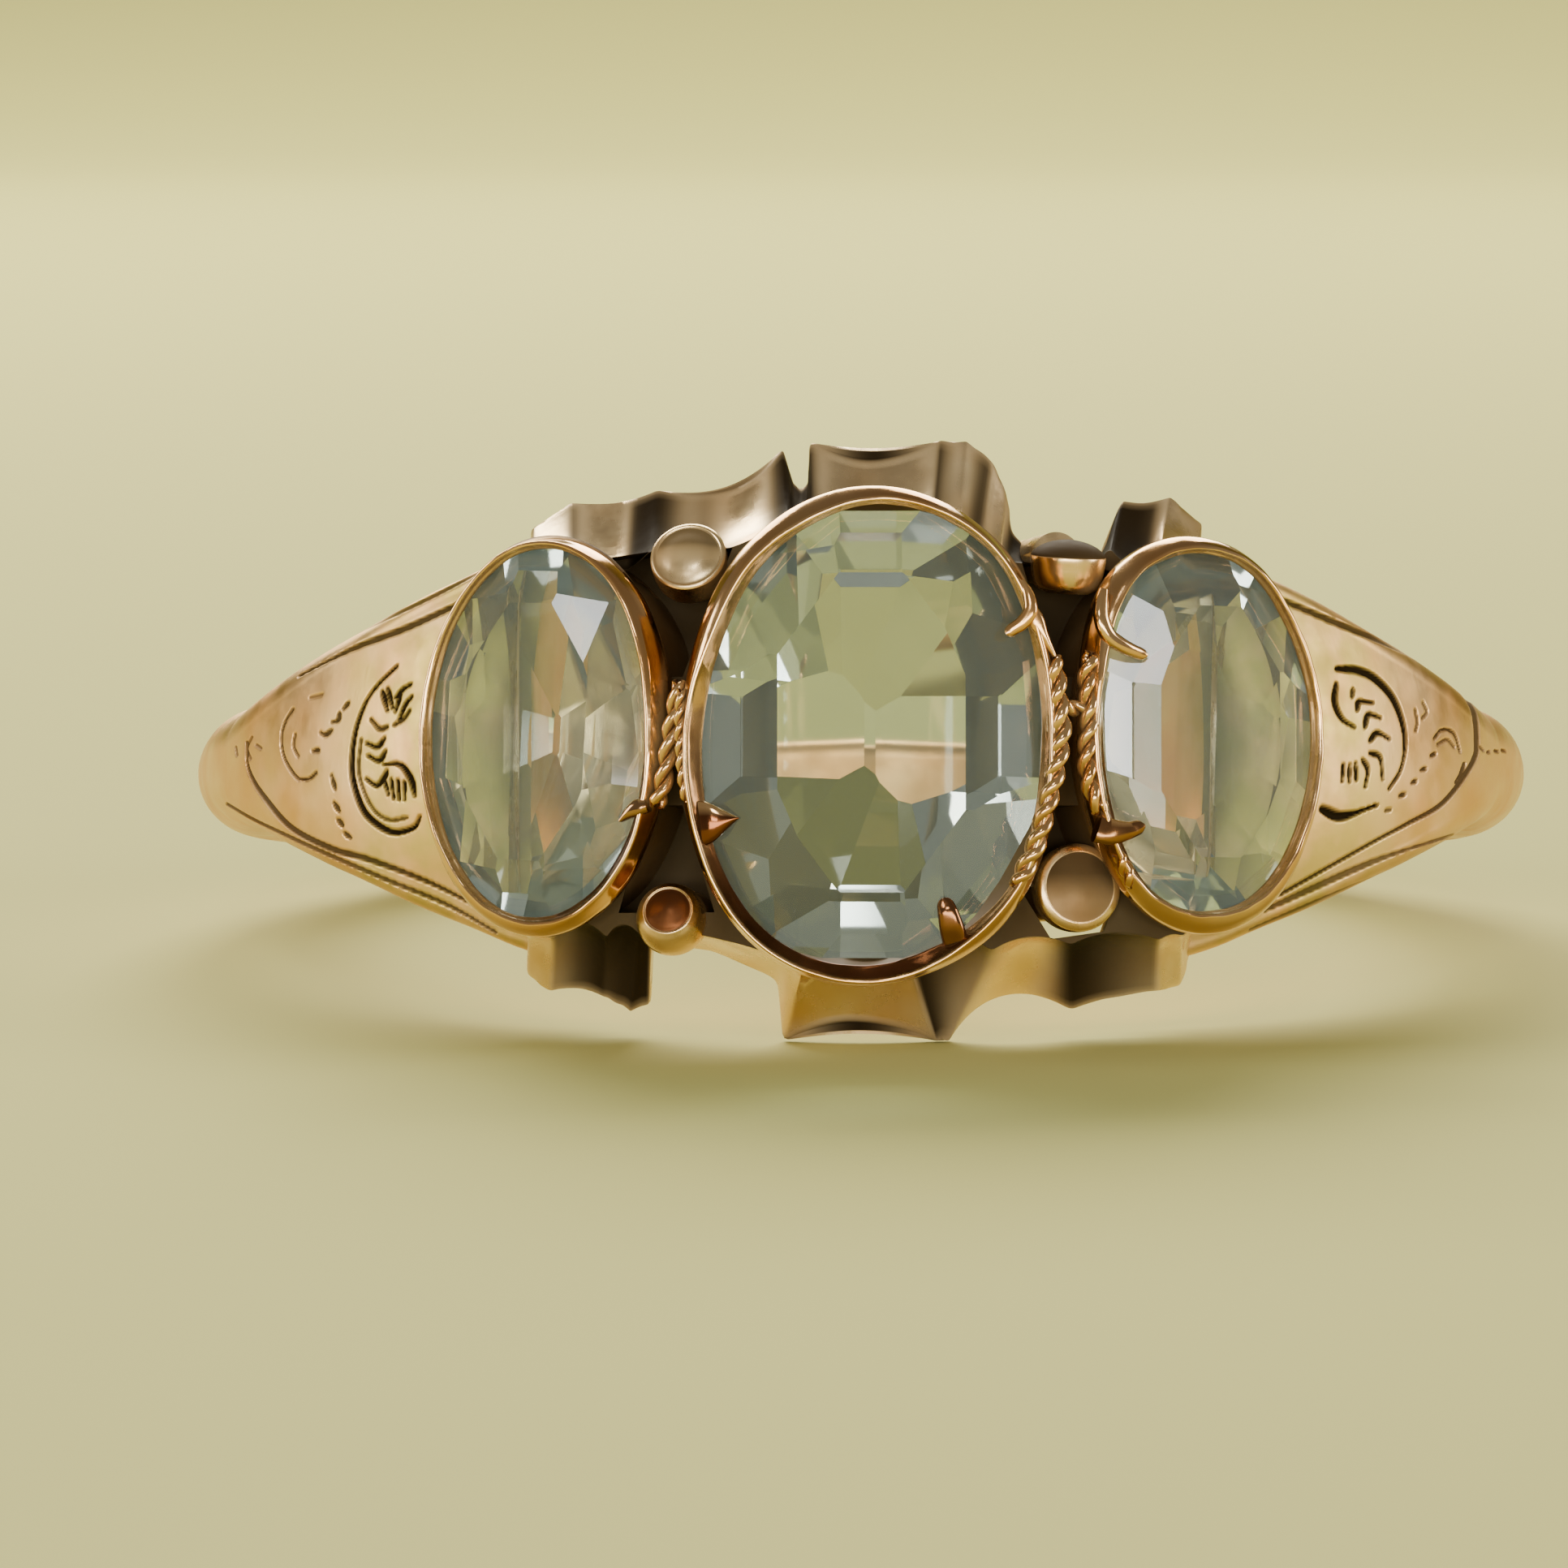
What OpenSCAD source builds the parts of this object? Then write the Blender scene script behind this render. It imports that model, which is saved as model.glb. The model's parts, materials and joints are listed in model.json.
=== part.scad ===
// Three-stone ring with fluted gallery, in millimetres.
// It is drawn in its own frame: the finger hole's axis along Z, the stones toward -Y.
// The last step lays it on its side, where it leans on two gallery corners and the back of the shank.

/* [Finger hole] */
// Diameter of the hole for the finger
bore_d = 17.8; // [17:0.1:18.6]

/* [Shank] */
// Metal thickness of the shank, halfway round
shank_t = 1.3; // [1.2:0.05:1.45]
// How far the shank's outside circle is set toward the stones
shank_shift = 0.25; // [0.15:0.05:0.3]
// Width of the half-round shank
shank_w = 1.9; // [1.7:0.1:2.1]
// Radius of the flatter dome across the shoulders
dome_r = 9; // [7:0.5:12]
// Thickness of the plain band under the stones
base_t = 0.8; // [0.7:0.05:1]
// Width of the plain band under the stones
base_w = 4.6; // [4.2:0.1:5]

/* [Gallery] */
// Height of the gallery's underside above the finger hole
gallery_low = 0.6; // [0.5:0.05:0.7]
// Height of the gallery's top above the finger hole
gallery_high = 2.1; // [1.9:0.05:2.2]
// How far the flutes lean in toward the stones
flute_lean = 0.65; // [0.5:0.05:0.75]

/* [Stones] */
// Height of the centre stone's widest line above the finger hole
centre_h = 2.8; // [2.7:0.05:3]
// Height of the side stones' widest line above the finger hole
side_h = 2.55; // [2.45:0.05:2.7]
// Clearance between each stone and the metal
stone_gap = 0.03; // [0.02:0.01:0.04]
// How far each rubbed-over lip covers its stone
lip_cover = 0.17; // [0.14:0.01:0.2]
// Height of a lip above the stone's widest line
lip_h = 0.42; // [0.38:0.02:0.5]

/* [Hidden] */
$fn = 96;
gold = [0.80, 0.56, 0.38];
aqua = [0.72, 0.84, 0.83, 0.7];

bore_r = bore_d / 2;
shank_r = bore_r + shank_t;
// Long enough to pass through the whole ring
through = 30;

// Stone places: angle round the finger, height above the hole, place along the finger,
// half width, half length, lean, collet's half width, collet's half length, crown, pavilion
ANGLE = 0;
HEIGHT = 1;
ALONG = 2;
HALF_W = 3;
HALF_L = 4;
LEAN = 5;
CUP_W = 6;
CUP_L = 7;
CROWN = 8;
DEPTH = 9;
centre_place = [0.1, centre_h, 0.03, 2.49, 3.34, 0, 2.70, 3.46, 0.72, 1.75];
left_place = [-23.6, side_h, 0.12, 1.79, 2.72, -3, 1.94, 2.84, 0.55, 1.25];
right_place = [24.2, side_h, 0.12, 1.80, 2.66, 0, 1.92, 2.84, 0.55, 1.25];

// A shoulder's half width seen from the side: distance toward the stones, half width
shoulder_rows = [
    [10.4, 3.15], [8.94, 3.08], [8.49, 2.66], [6.97, 1.86], [5.8, 1.43], [4.7, 1.10], [3, 0.74], [1, 0.36]
];
// The shoulders end under the side collets, this far from the middle
shoulder_end = 4.3;

// Gallery corners seen from the front, one row each for the side above and the side below
upper_corners = [
    [-4.78, 2.3], [-4.74, 3.13], [-4.19, 3.37], [-2.95, 3.57], [-1.15, 4.13], [-0.80, 4.23],
    [1.39, 4.25], [1.75, 3.96], [1.93, 3.55], [2.0, 3.05], [2.3, 2.82], [3.38, 2.8],
    [3.62, 3.40], [4.16, 3.50], [4.62, 3.05], [4.7, 2.3]
];
lower_corners = [
    [4.6, -2.3], [4.49, -2.86], [4.29, -3.49], [2.87, -3.72], [1.21, -4.18], [-1.21, -4.18],
    [-1.27, -3.31], [-2.2, -2.9], [-3.07, -2.8], [-3.08, -3.66], [-3.30, -3.78],
    [-4.62, -3.42], [-4.79, -2.91], [-4.78, -2.3]
];
// Flutes: the corner at each end and how deep the edge between them is hollowed
flutes = [
    [[-4.19, 3.37], [-2.95, 3.57], 0.10],
    [[-2.95, 3.57], [-1.15, 4.13], 0.24],
    [[-0.80, 4.23], [1.39, 4.25], 0.13],
    [[3.62, 3.40], [4.16, 3.50], 0.05],
    [[4.29, -3.49], [2.87, -3.72], 0.06],
    [[2.87, -3.72], [1.21, -4.18], 0.48],
    [[1.21, -4.18], [-1.21, -4.18], 0.15],
    [[-3.30, -3.78], [-4.62, -3.42], 0.06]
];
// Dark pockets between the collets, seen from the front, and the one that is open to the finger
pockets = [
    [[2.6, -0.9], [3.05, -0.9], [3.5, -2.4], [2.15, -2.4]],
    [[2.6, 0.9], [2.15, 2.5], [3.5, 2.4], [3.05, 0.9]],
    [[-2.6, 0.9], [-3.05, 0.9], [-3.6, 3.1], [-2.6, 3.25], [-1.9, 3.1]],
    [[-2.6, -0.9], [-2.15, -2.4], [-3.5, -2.4], [-3.05, -0.9]]
];
open_pocket = [[3.45, -2.2], [3.3, -2.75], [2.6, -2.85], [2.15, -2.2]];
// Height of the pockets' floor above the finger hole
pocket_floor = 1.1;
// Narrow notch in the upper edge of the gallery
notch_at = [-0.93, 3.75];
notch_r = 0.12;
// Studs between the collets: distance across, place along the finger, radius of the domed top
stud_rows = [[-2.5, 2.56, 0.5], [-2.76, -2.47, 0.5], [2.83, 2.5, 0.5], [2.88, -2.12, 0.6]];
// Height of the domes and of the posts' feet above the finger hole, and a post's share of its dome
stud_h = 2.25;
stud_foot = 0.3;
stud_post = 0.7;

// Claws on each lip: place round the lip, direction away from the tip, length and width
centre_claws = [[199, 180, 0.55, 0.5], [29, 10, 0.6, 0.3], [-62, -72, 0.55, 0.3]];
left_claws = [[-18, -15, 0.4, 0.35]];
right_claws = [[142, 155, 0.7, 0.35], [205, 200, 0.55, 0.4]];

// Height of the collets' foot above the finger hole, and how much narrower the foot is than the rim
collet_foot = 0.35;
collet_taper = 0.25;
// How far a claw's root is set in from the outside of its lip, its thickness and its slope
claw_in = 0.2;
claw_t = 0.22;
claw_slope = 30;
// Hole under each stone and the foot of its seat, as shares of the stone's outline
hole_share = 0.52;
seat_foot_share = 0.62;
seat_top_share = 0.86;
seat_drop = 0.52;

// Cut of the stones, as shares of the outline, and half the thickness of the girdle
table_share = 0.6;
star_share = 0.8;
step_share = 0.7;
keel_share = 0.22;
girdle_half = 0.05;

// The ring lies on its two lowest gallery corners and on the round of the shank's back.
// Each place is given across and along the finger hole.
foot_corner = lower_corners[4];
front_touch = [-sqrt(pow(bore_r + gallery_low, 2) - pow(foot_corner[0], 2)), foot_corner[1]];
back_round = [shank_r - shank_w / 2 - shank_shift, 0];
rest_tilt = atan((back_round[1] - front_touch[1]) / (back_round[0] - front_touch[0]))
    - asin(shank_w / 2 / norm(back_round - front_touch));
rest_lift = shank_w / 2 + back_round[0] * sin(rest_tilt);
// Moves the middle of the ring's box over the origin
rest_shift = 1.43;

// Lays the ring on its side
module at_rest() {
    translate([0, rest_shift, rest_lift])
        rotate([-rest_tilt, 0, 0])
            children();
}

// Draws a front outline from the finger hole's middle out through the stones
module from_front(length) {
    rotate([90, 0, 0])
        linear_extrude(height = length)
            children();
}

// Puts a part drawn round its own upright axis where a stone sits
module at_stone(place) {
    rotate([90, 0, place[ANGLE]])
        translate([0, place[ALONG], bore_r + place[HEIGHT]])
            rotate([0, 0, place[LEAN]])
                children();
}

// Half-round ring that goes all the way round, under the shoulders too
module half_round() {
    round_r = shank_w / 2;
    translate([0, -shank_shift, 0])
        rotate_extrude()
            union() {
                translate([shank_r - round_r, 0])
                    circle(r = round_r);
                translate([bore_r - shank_shift - 0.5, -round_r])
                    square([shank_r - round_r - bore_r + shank_shift + 0.5, shank_w]);
            }
}

// Gently domed ring that the shoulders are cut from
module domed_ring() {
    reach = 3.2;
    dome = [for (z = [-reach:0.8:reach + 0.01]) [shank_r - z * z / (2 * dome_r), z]];
    translate([0, -shank_shift, 0])
        rotate_extrude()
            polygon(concat([[bore_r - 1, -reach]], dome, [[bore_r - 1, reach]]));
}

// Side outline of both shoulders: widest at the collets
module shoulder_outline() {
    last = len(shoulder_rows) - 1;
    upper = [for (row = shoulder_rows) [-row[0], row[1]]];
    lower = [for (i = [last:-1:0]) [-shoulder_rows[i][0], -shoulder_rows[i][1]]];
    polygon(concat(upper, lower));
}

module shank() {
    difference() {
        union() {
            half_round();
            intersection() {
                domed_ring();
                rotate([90, 0, 90])
                    linear_extrude(height = through, center = true)
                        shoulder_outline();
            }
        }
        translate([-shoulder_end, -through, -through / 2])
            cube([2 * shoulder_end, through, through]);
    }
}

// Thin band that carries the collets and runs a little way into both shoulders
module base_band() {
    intersection() {
        cylinder(r = bore_r + base_t, h = base_w, center = true);
        from_front(through)
            square([2 * shoulder_end + 1, base_w + 1], center = true);
    }
}

// Leaning round cut that hollows one edge of the gallery between two corners
module flute(p, q, hollow) {
    start = 2;
    slope = flute_lean / (gallery_high - gallery_low);
    squeeze = cos(atan(slope));
    half = norm(q - p) / 2;
    sag = hollow * squeeze;
    r = (half * half + sag * sag) / (2 * sag);
    along = (q - p) / (2 * half);
    side = [along[1], -along[0]];
    out = side * (p + q) > 0 ? side : -side;
    centre = (p + q) / 2 + out * (r / squeeze - hollow);
    foot = centre + out * slope * start;
    translate([foot[0], start - bore_r - gallery_low, foot[1]])
        rotate([90 + atan(slope * out[1]), 0, 0])
            rotate([0, -atan(slope * out[0]), 0])
                cylinder(r = r, h = 11);
}

module gallery() {
    difference() {
        intersection() {
            difference() {
                cylinder(r = bore_r + gallery_high, h = 12, center = true);
                cylinder(r = bore_r + gallery_low, h = 13, center = true);
            }
            from_front(through)
                polygon(concat(upper_corners, lower_corners));
        }
        for (f = flutes)
            flute(f[0], f[1], f[2]);
        from_front(through)
            translate(notch_at)
                circle(r = notch_r, $fn = 24);
        from_front(through)
            translate([notch_at[0] - notch_r, notch_at[1]])
                square([2 * notch_r, 1]);
    }
}

module pocket_cuts() {
    difference() {
        for (p = pockets)
            from_front(through)
                polygon(p);
        cylinder(r = bore_r + pocket_floor, h = through, center = true);
    }
    from_front(through)
        polygon(open_pocket);
}

// Outside of a collet, a little narrower at its foot, with a lip rounded over the stone's edge
module collet_body(place) {
    foot = place[HEIGHT] - collet_foot;
    mouth = place[HALF_W] - lip_cover;
    scale([1, place[CUP_L] / place[CUP_W], 1])
        rotate_extrude()
            polygon([
                [0, -foot],
                [place[CUP_W] - collet_taper, -foot],
                [place[CUP_W], 0.1],
                [place[CUP_W] - 0.05, lip_h - 0.1],
                [place[CUP_W] - 0.14, lip_h],
                [mouth + 0.04, lip_h - 0.02],
                [mouth - 0.06, 0.2],
                [0, 0.2]
            ]);
}

// Height of a stone's star tips, so that the kite facets between them are flat
function star_height(place) = place[CROWN] * (1 - star_share * cos(22.5)) / (1 - table_share);

// Hollow for one stone: the stone's own height, a seat under it and a way through to the finger
module stone_seat(place) {
    w = place[HALF_W] + stone_gap;
    scale([1, (place[HALF_L] + stone_gap) / w, 1])
        rotate_extrude()
            polygon([
                [0, -through / 6],
                [hole_share * w, -through / 6],
                [seat_foot_share * w, -place[DEPTH]],
                [seat_top_share * w, -seat_drop],
                [w, -girdle_half - stone_gap],
                [w, girdle_half + stone_gap],
                [star_share * w, star_height(place) + 2 * stone_gap],
                [table_share * w, place[CROWN] + 2 * stone_gap],
                [0, place[CROWN] + 2 * stone_gap]
            ]);
}

// Small pointed claw, pushed from the lip onto the stone
module claw(place, row) {
    edge = place[CUP_W] - claw_in;
    stretch = place[CUP_L] / place[CUP_W];
    translate([edge * cos(row[0]), edge * stretch * sin(row[0]), lip_h - 0.14])
        rotate([0, 0, row[1]])
            rotate([0, claw_slope, 0])
                linear_extrude(height = claw_t)
                    polygon([[0, -row[3] / 2], [-row[2], 0], [0, row[3] / 2]]);
}

// Collet with its claws, where it stands
module collet(place, claws) {
    at_stone(place) {
        collet_body(place);
        for (row = claws)
            claw(place, row);
    }
}

// Domed stud on a post that stands on the band
module stud(row) {
    angle = asin(row[0] / (bore_r + stud_h));
    rotate([90, 0, angle])
        translate([0, row[1], bore_r + stud_foot]) {
            cylinder(r = stud_post * row[2], h = stud_h - stud_foot);
            translate([0, 0, stud_h - stud_foot])
                sphere(r = row[2]);
        }
}

module gold_mount() {
    color(gold)
        at_rest()
            difference() {
                union() {
                    shank();
                    base_band();
                    difference() {
                        gallery();
                        pocket_cuts();
                    }
                    collet(centre_place, centre_claws);
                    collet(left_place, left_claws);
                    collet(right_place, right_claws);
                    for (row = stud_rows)
                        stud(row);
                }
                at_stone(centre_place)
                    stone_seat(centre_place);
                at_stone(left_place)
                    stone_seat(left_place);
                at_stone(right_place)
                    stone_seat(right_place);
                cylinder(r = bore_r, h = through, center = true);
            }
}

// Points round an oval at one height, as a share of the stone's outline
function oval(place, share, height, count, turn) = [
    for (i = [0:count - 1])
        [share * place[HALF_W] * cos(turn + i * 360 / count),
         share * place[HALF_L] * sin(turn + i * 360 / count),
         height]
];

// Cut stone: eight-sided table, star tips, round girdle, stepped pavilion and a keel
module cut_stone(place) {
    keel = keel_share * place[HALF_L];
    points = concat(
        oval(place, table_share, place[CROWN], 8, 22.5),
        oval(place, star_share, star_height(place), 8, 0),
        oval(place, 1, girdle_half, 24, 7.5),
        oval(place, 1, -girdle_half, 24, 7.5),
        oval(place, step_share, -0.5 * place[DEPTH], 12, 15),
        [[0, keel, -place[DEPTH]], [0, -keel, -place[DEPTH]]]
    );
    hull()
        polyhedron(points = points, faces = [[for (i = [0:len(points) - 1]) i]]);
}

module stone(place) {
    color(aqua)
        at_rest()
            at_stone(place)
                cut_stone(place);
}

module stone_centre() {
    stone(centre_place);
}

module stone_left() {
    stone(left_place);
}

module stone_right() {
    stone(right_place);
}

gold_mount();
stone_centre();
stone_left();
stone_right();
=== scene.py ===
import json
import math

import bmesh
import bpy
import numpy as np
from mathutils import Matrix, Vector
from mathutils.geometry import delaunay_2d_cdt


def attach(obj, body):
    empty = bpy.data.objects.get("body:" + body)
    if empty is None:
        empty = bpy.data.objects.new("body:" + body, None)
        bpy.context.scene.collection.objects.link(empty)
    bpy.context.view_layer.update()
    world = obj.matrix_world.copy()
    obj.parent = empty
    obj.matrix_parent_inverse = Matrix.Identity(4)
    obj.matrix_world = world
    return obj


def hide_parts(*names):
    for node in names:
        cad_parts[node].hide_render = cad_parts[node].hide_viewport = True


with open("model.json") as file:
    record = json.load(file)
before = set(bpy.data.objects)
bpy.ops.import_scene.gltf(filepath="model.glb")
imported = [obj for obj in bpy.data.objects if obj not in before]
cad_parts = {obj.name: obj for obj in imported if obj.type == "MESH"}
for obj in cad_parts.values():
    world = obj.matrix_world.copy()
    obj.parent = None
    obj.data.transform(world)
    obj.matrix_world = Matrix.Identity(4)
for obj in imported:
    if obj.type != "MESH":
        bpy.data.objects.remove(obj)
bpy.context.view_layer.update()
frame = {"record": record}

# Shank: a half-round hoop of rose gold that widens into two shoulders under the side stones.
# The strip is forged, bent round the finger size and soldered. It lies on its side here, so the
# finger hole's own axis gives the frame that every piece is drawn in: millimetres, stones toward -Y.
finger_hole = frame["record"]["mounts"][0]
hole_r = finger_hole["dims"]["r_mm"]
hole_axis = Vector(finger_hole["axis"]).normalized()
across = Vector((1, 0, 0))
ring_place = Matrix((across, hole_axis.cross(across), hole_axis)).transposed().to_4x4()
ring_place.translation = Vector(finger_hole["pos_m"])
ring_place = ring_place @ Matrix.Scale(0.001, 4)

shank_t = 1.3
shank_shift = 0.25
shank_round = 0.92
dome_r = 9.0
shank_top = hole_r + shank_t
head_angle = math.radians(25.5)
back_angle = math.radians(100)
# Half width of a shoulder, by its distance from the hole's middle toward the stones
shoulder_at = [1.0, 3.0, 4.7, 5.8, 6.97, 8.49, 8.94, 10.4]
shoulder_half = [0.36, 0.74, 1.10, 1.43, 1.86, 2.66, 3.06, 3.13]
shoulder_ease = 0.35
# How round the shoulder's edge is, by the same distance
edge_at = [1.5, 5.0, 8.6]
edge_round = [shank_round, 0.55, 0.2]


def add_piece(name, points, faces, material, stands_for, marks=None):
    """A smooth-shaded mesh drawn in the ring's own millimetres, riding with the ring."""
    mesh = bpy.data.meshes.new(name)
    mesh.from_pydata([tuple(p) for p in points], [], [tuple(f) for f in faces])
    for mark, values in (marks or {}).items():
        layer = mesh.attributes.new(mark, "FLOAT", "POINT")
        layer.data.foreach_set("value", np.asarray(values, np.float32))
    mesh.transform(ring_place)
    mesh.shade_smooth()
    mesh.set_sharp_from_angle(angle=math.radians(65))
    mesh.materials.append(material)
    piece = bpy.data.objects.new(name, mesh)
    bpy.context.scene.collection.objects.link(piece)
    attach(piece, "root")
    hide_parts(stands_for)


copper_tarnish_and_shade = (0.17, 0.06, 0.022)
yellow_stain = (0.56, 0.40, 0.10)
black_dirt_and_shade = (0.018, 0.011, 0.004)
# How far into a corner the painted shade reaches, in metres, and how high the scratches stand
corner_shade_reach = 0.0005
scratch_height = 0.000012


def rose_gold(name, polish, wear, dark=(0.78, 0.42, 0.15), light=(0.85, 0.54, 0.24), corner_shade=0.75):
    """Worn rose gold: polish is the roughness of the clean metal, wear how scratched it is."""
    material = bpy.data.materials.new(name)
    material.use_nodes = True
    nodes = material.node_tree.nodes
    link = material.node_tree.links.new
    shader = nodes["Principled BSDF"]
    shader.inputs["Specular IOR Level"].default_value = 0.03
    place = nodes.new("ShaderNodeTexCoord").outputs["Object"]

    def noise(scale_per_mm, detail, stretch=(1, 1, 1)):
        """Cloudy unevenness of a size, drawn out along one way where it is stretched."""
        squeeze = nodes.new("ShaderNodeMapping")
        squeeze.inputs["Scale"].default_value = [1000 * scale_per_mm * s for s in stretch]
        cloud = nodes.new("ShaderNodeTexNoise")
        cloud.inputs["Scale"].default_value = 1.0
        cloud.inputs["Detail"].default_value = detail
        link(place, squeeze.inputs["Vector"])
        link(squeeze.outputs["Vector"], cloud.inputs["Vector"])
        return cloud.outputs["Fac"]

    def blend(low, high, share):
        """One colour going over into another."""
        mix = nodes.new("ShaderNodeMix")
        mix.data_type = "RGBA"
        for socket, value in ((mix.inputs["A"], low), (mix.inputs["B"], high)):
            if isinstance(value, tuple):
                socket.default_value = (*value, 1)
            else:
                link(value, socket)
        link(share, mix.inputs["Factor"])
        return mix.outputs["Result"]

    def reach(value, low, high, to_low=0.0, to_high=1.0):
        """Spreads the values between two limits over a new range."""
        ramp = nodes.new("ShaderNodeMapRange")
        ramp.inputs["From Min"].default_value = low
        ramp.inputs["From Max"].default_value = high
        ramp.inputs["To Min"].default_value = to_low
        ramp.inputs["To Max"].default_value = to_high
        link(value, ramp.inputs["Value"])
        return ramp.outputs["Result"]

    def together(operation, a, b):
        """Sums, differences and products of two values, kept between 0 and 1."""
        maths = nodes.new("ShaderNodeMath")
        maths.operation = operation
        maths.use_clamp = True
        for socket, value in ((maths.inputs[0], a), (maths.inputs[1], b)):
            if isinstance(value, float):
                socket.default_value = value
            else:
                link(value, socket)
        return maths.outputs["Value"]

    def mark(key):
        """One of the marks that the mesh carries: dirt with painted shade, tarnish with painted dark
        reflection, or stain.
        """
        layer = nodes.new("ShaderNodeAttribute")
        layer.attribute_name = key
        return layer.outputs["Fac"]

    # Corners are painted dark as shade, by how closed in each place is
    corner = nodes.new("ShaderNodeAmbientOcclusion")
    corner.samples = 6
    corner.inputs["Distance"].default_value = corner_shade_reach
    shade = reach(corner.outputs["AO"], 0.25, 0.75, 1.0, 0.0)
    patches = reach(noise(1.3, 3), 0.35, 0.6, 0.25, 1.0)
    # Dirt and painted shade darken the metal toward black, and make it less metallic and rougher
    dirt_and_shade = together("MAXIMUM", mark("grime"), together("MULTIPLY", shade, corner_shade))
    metal = blend(dark, light, reach(noise(0.8, 2), 0.35, 0.65))
    # Red where the mesh marks tarnish and painted dark reflection, yellow in its stained patches
    reddened_and_shaded = blend(metal, copper_tarnish_and_shade, mark("tarnish"))
    stained = blend(reddened_and_shaded, yellow_stain, together("MULTIPLY", mark("stain"), patches))
    link(blend(stained, black_dirt_and_shade, dirt_and_shade), shader.inputs["Base Color"])
    link(together("SUBTRACT", 1.0, dirt_and_shade), shader.inputs["Metallic"])
    rub = together("ADD", reach(noise(2.2, 4), 0.35, 0.7, polish, polish + wear),
                   together("MULTIPLY", mark("stain"), 0.12))
    link(together("ADD", rub, together("MULTIPLY", dirt_and_shade, 0.35)), shader.inputs["Roughness"])
    bump = nodes.new("ShaderNodeBump")
    bump.inputs["Strength"].default_value = 0.12 + wear
    bump.inputs["Distance"].default_value = scratch_height
    scratches = together("MULTIPLY", noise(9, 2, (0.12, 1, 1)), noise(11, 2, (1, 1, 0.15)))
    link(scratches, bump.inputs["Height"])
    link(bump.outputs["Normal"], shader.inputs["Normal"])
    return material


def shank_section(angle, count):
    """Heights along the finger and radii of the shank's outside at one angle, edge to edge."""
    toward = (shank_top - 0.1) * math.cos(angle)
    near = np.linspace(toward - shoulder_ease, toward + shoulder_ease, 9)
    half = max(shank_round, float(np.mean(np.interp(near, shoulder_at, shoulder_half))))
    edge_r = float(np.interp(toward, edge_at, edge_round))
    flat = half - edge_r
    turn = np.linspace(0, math.pi / 2, 40)
    rim = shank_top - flat * flat / (2 * dome_r)
    top_z = np.linspace(0, flat, 80)[:-1]
    z = np.concatenate([top_z, flat + edge_r * np.sin(turn), [half, half - 0.08]])
    r = np.concatenate([shank_top - top_z ** 2 / (2 * dome_r), rim - edge_r + edge_r * np.cos(turn),
                        [hole_r + 0.1, hole_r]])
    z = np.concatenate([-z[::-1], z[1:]])
    r = np.concatenate([r[::-1], r[1:]])
    r = r + shank_shift * math.cos(angle) * (r - hole_r) / shank_t
    run = np.concatenate([[0], np.cumsum(np.hypot(np.diff(z), np.diff(r)))])
    even = np.linspace(0, run[-1], count)
    return np.interp(even, run, z), np.interp(even, run, r)


def along_curve(a, b, c, d, t):
    """A place between b and c on a smooth curve through four places."""
    return 0.5 * (2 * b + (c - a) * t + (2 * a - 5 * b + 4 * c - d) * t * t
                  + (3 * b - a - 3 * c + d) * t ** 3)


# Half width of the finest line that the graver leaves
finest_cut = 0.024


def stroke_samples(points, thick, step=0.012):
    """A hand-cut line through its points: its places and its half width, thin at both ends."""
    p = np.array(points, float)
    p = np.vstack([2 * p[0] - p[1], p, 2 * p[-1] - p[-2]])
    places, widths = [], []
    spans = len(p) - 3
    for i in range(spans):
        a, b, c, d = p[i:i + 4]
        for t in np.arange(0, 1, step / max(step, float(np.linalg.norm(c - b)))):
            places.append(along_curve(a, b, c, d, t))
            widths.append((i + t) / spans)
    share = np.array(widths)
    heavy, light = thick
    swell = np.sin(np.pi * np.clip(0.08 + 0.92 * share, 0, 1)) ** 0.5
    half_widths = (heavy + (light - heavy) * share) * np.clip(swell, 0.25, 1)
    return np.array(places), np.maximum(finest_cut, half_widths)


def cut_depth(x, z, strokes):
    """How deep the strokes cut each place of the surface, and how much dirt lies in them there."""
    depth = np.zeros(len(x))
    grime = np.zeros(len(x))
    for cut, thick, points in strokes:
        places, widths = stroke_samples(points, thick)
        most = widths.max() * 1.6
        near = np.where((x > places[:, 0].min() - most) & (x < places[:, 0].max() + most)
                        & (z > places[:, 1].min() - most) & (z < places[:, 1].max() + most))[0]
        if not len(near):
            continue
        best = np.full(len(near), np.inf)
        for place, width in zip(places, widths):
            away = np.hypot(x[near] - place[0], z[near] - place[1]) / width
            best = np.minimum(best, away)
        depth[near] = np.maximum(depth[near], cut * np.clip(1 - best ** 2, 0, 1))
        darkest = min(1.0, 0.45 + 9 * cut)
        grime[near] = np.maximum(grime[near], np.clip(1.7 * (1 - (best / 1.2) ** 2), 0, darkest))
    return depth, grime


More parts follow.
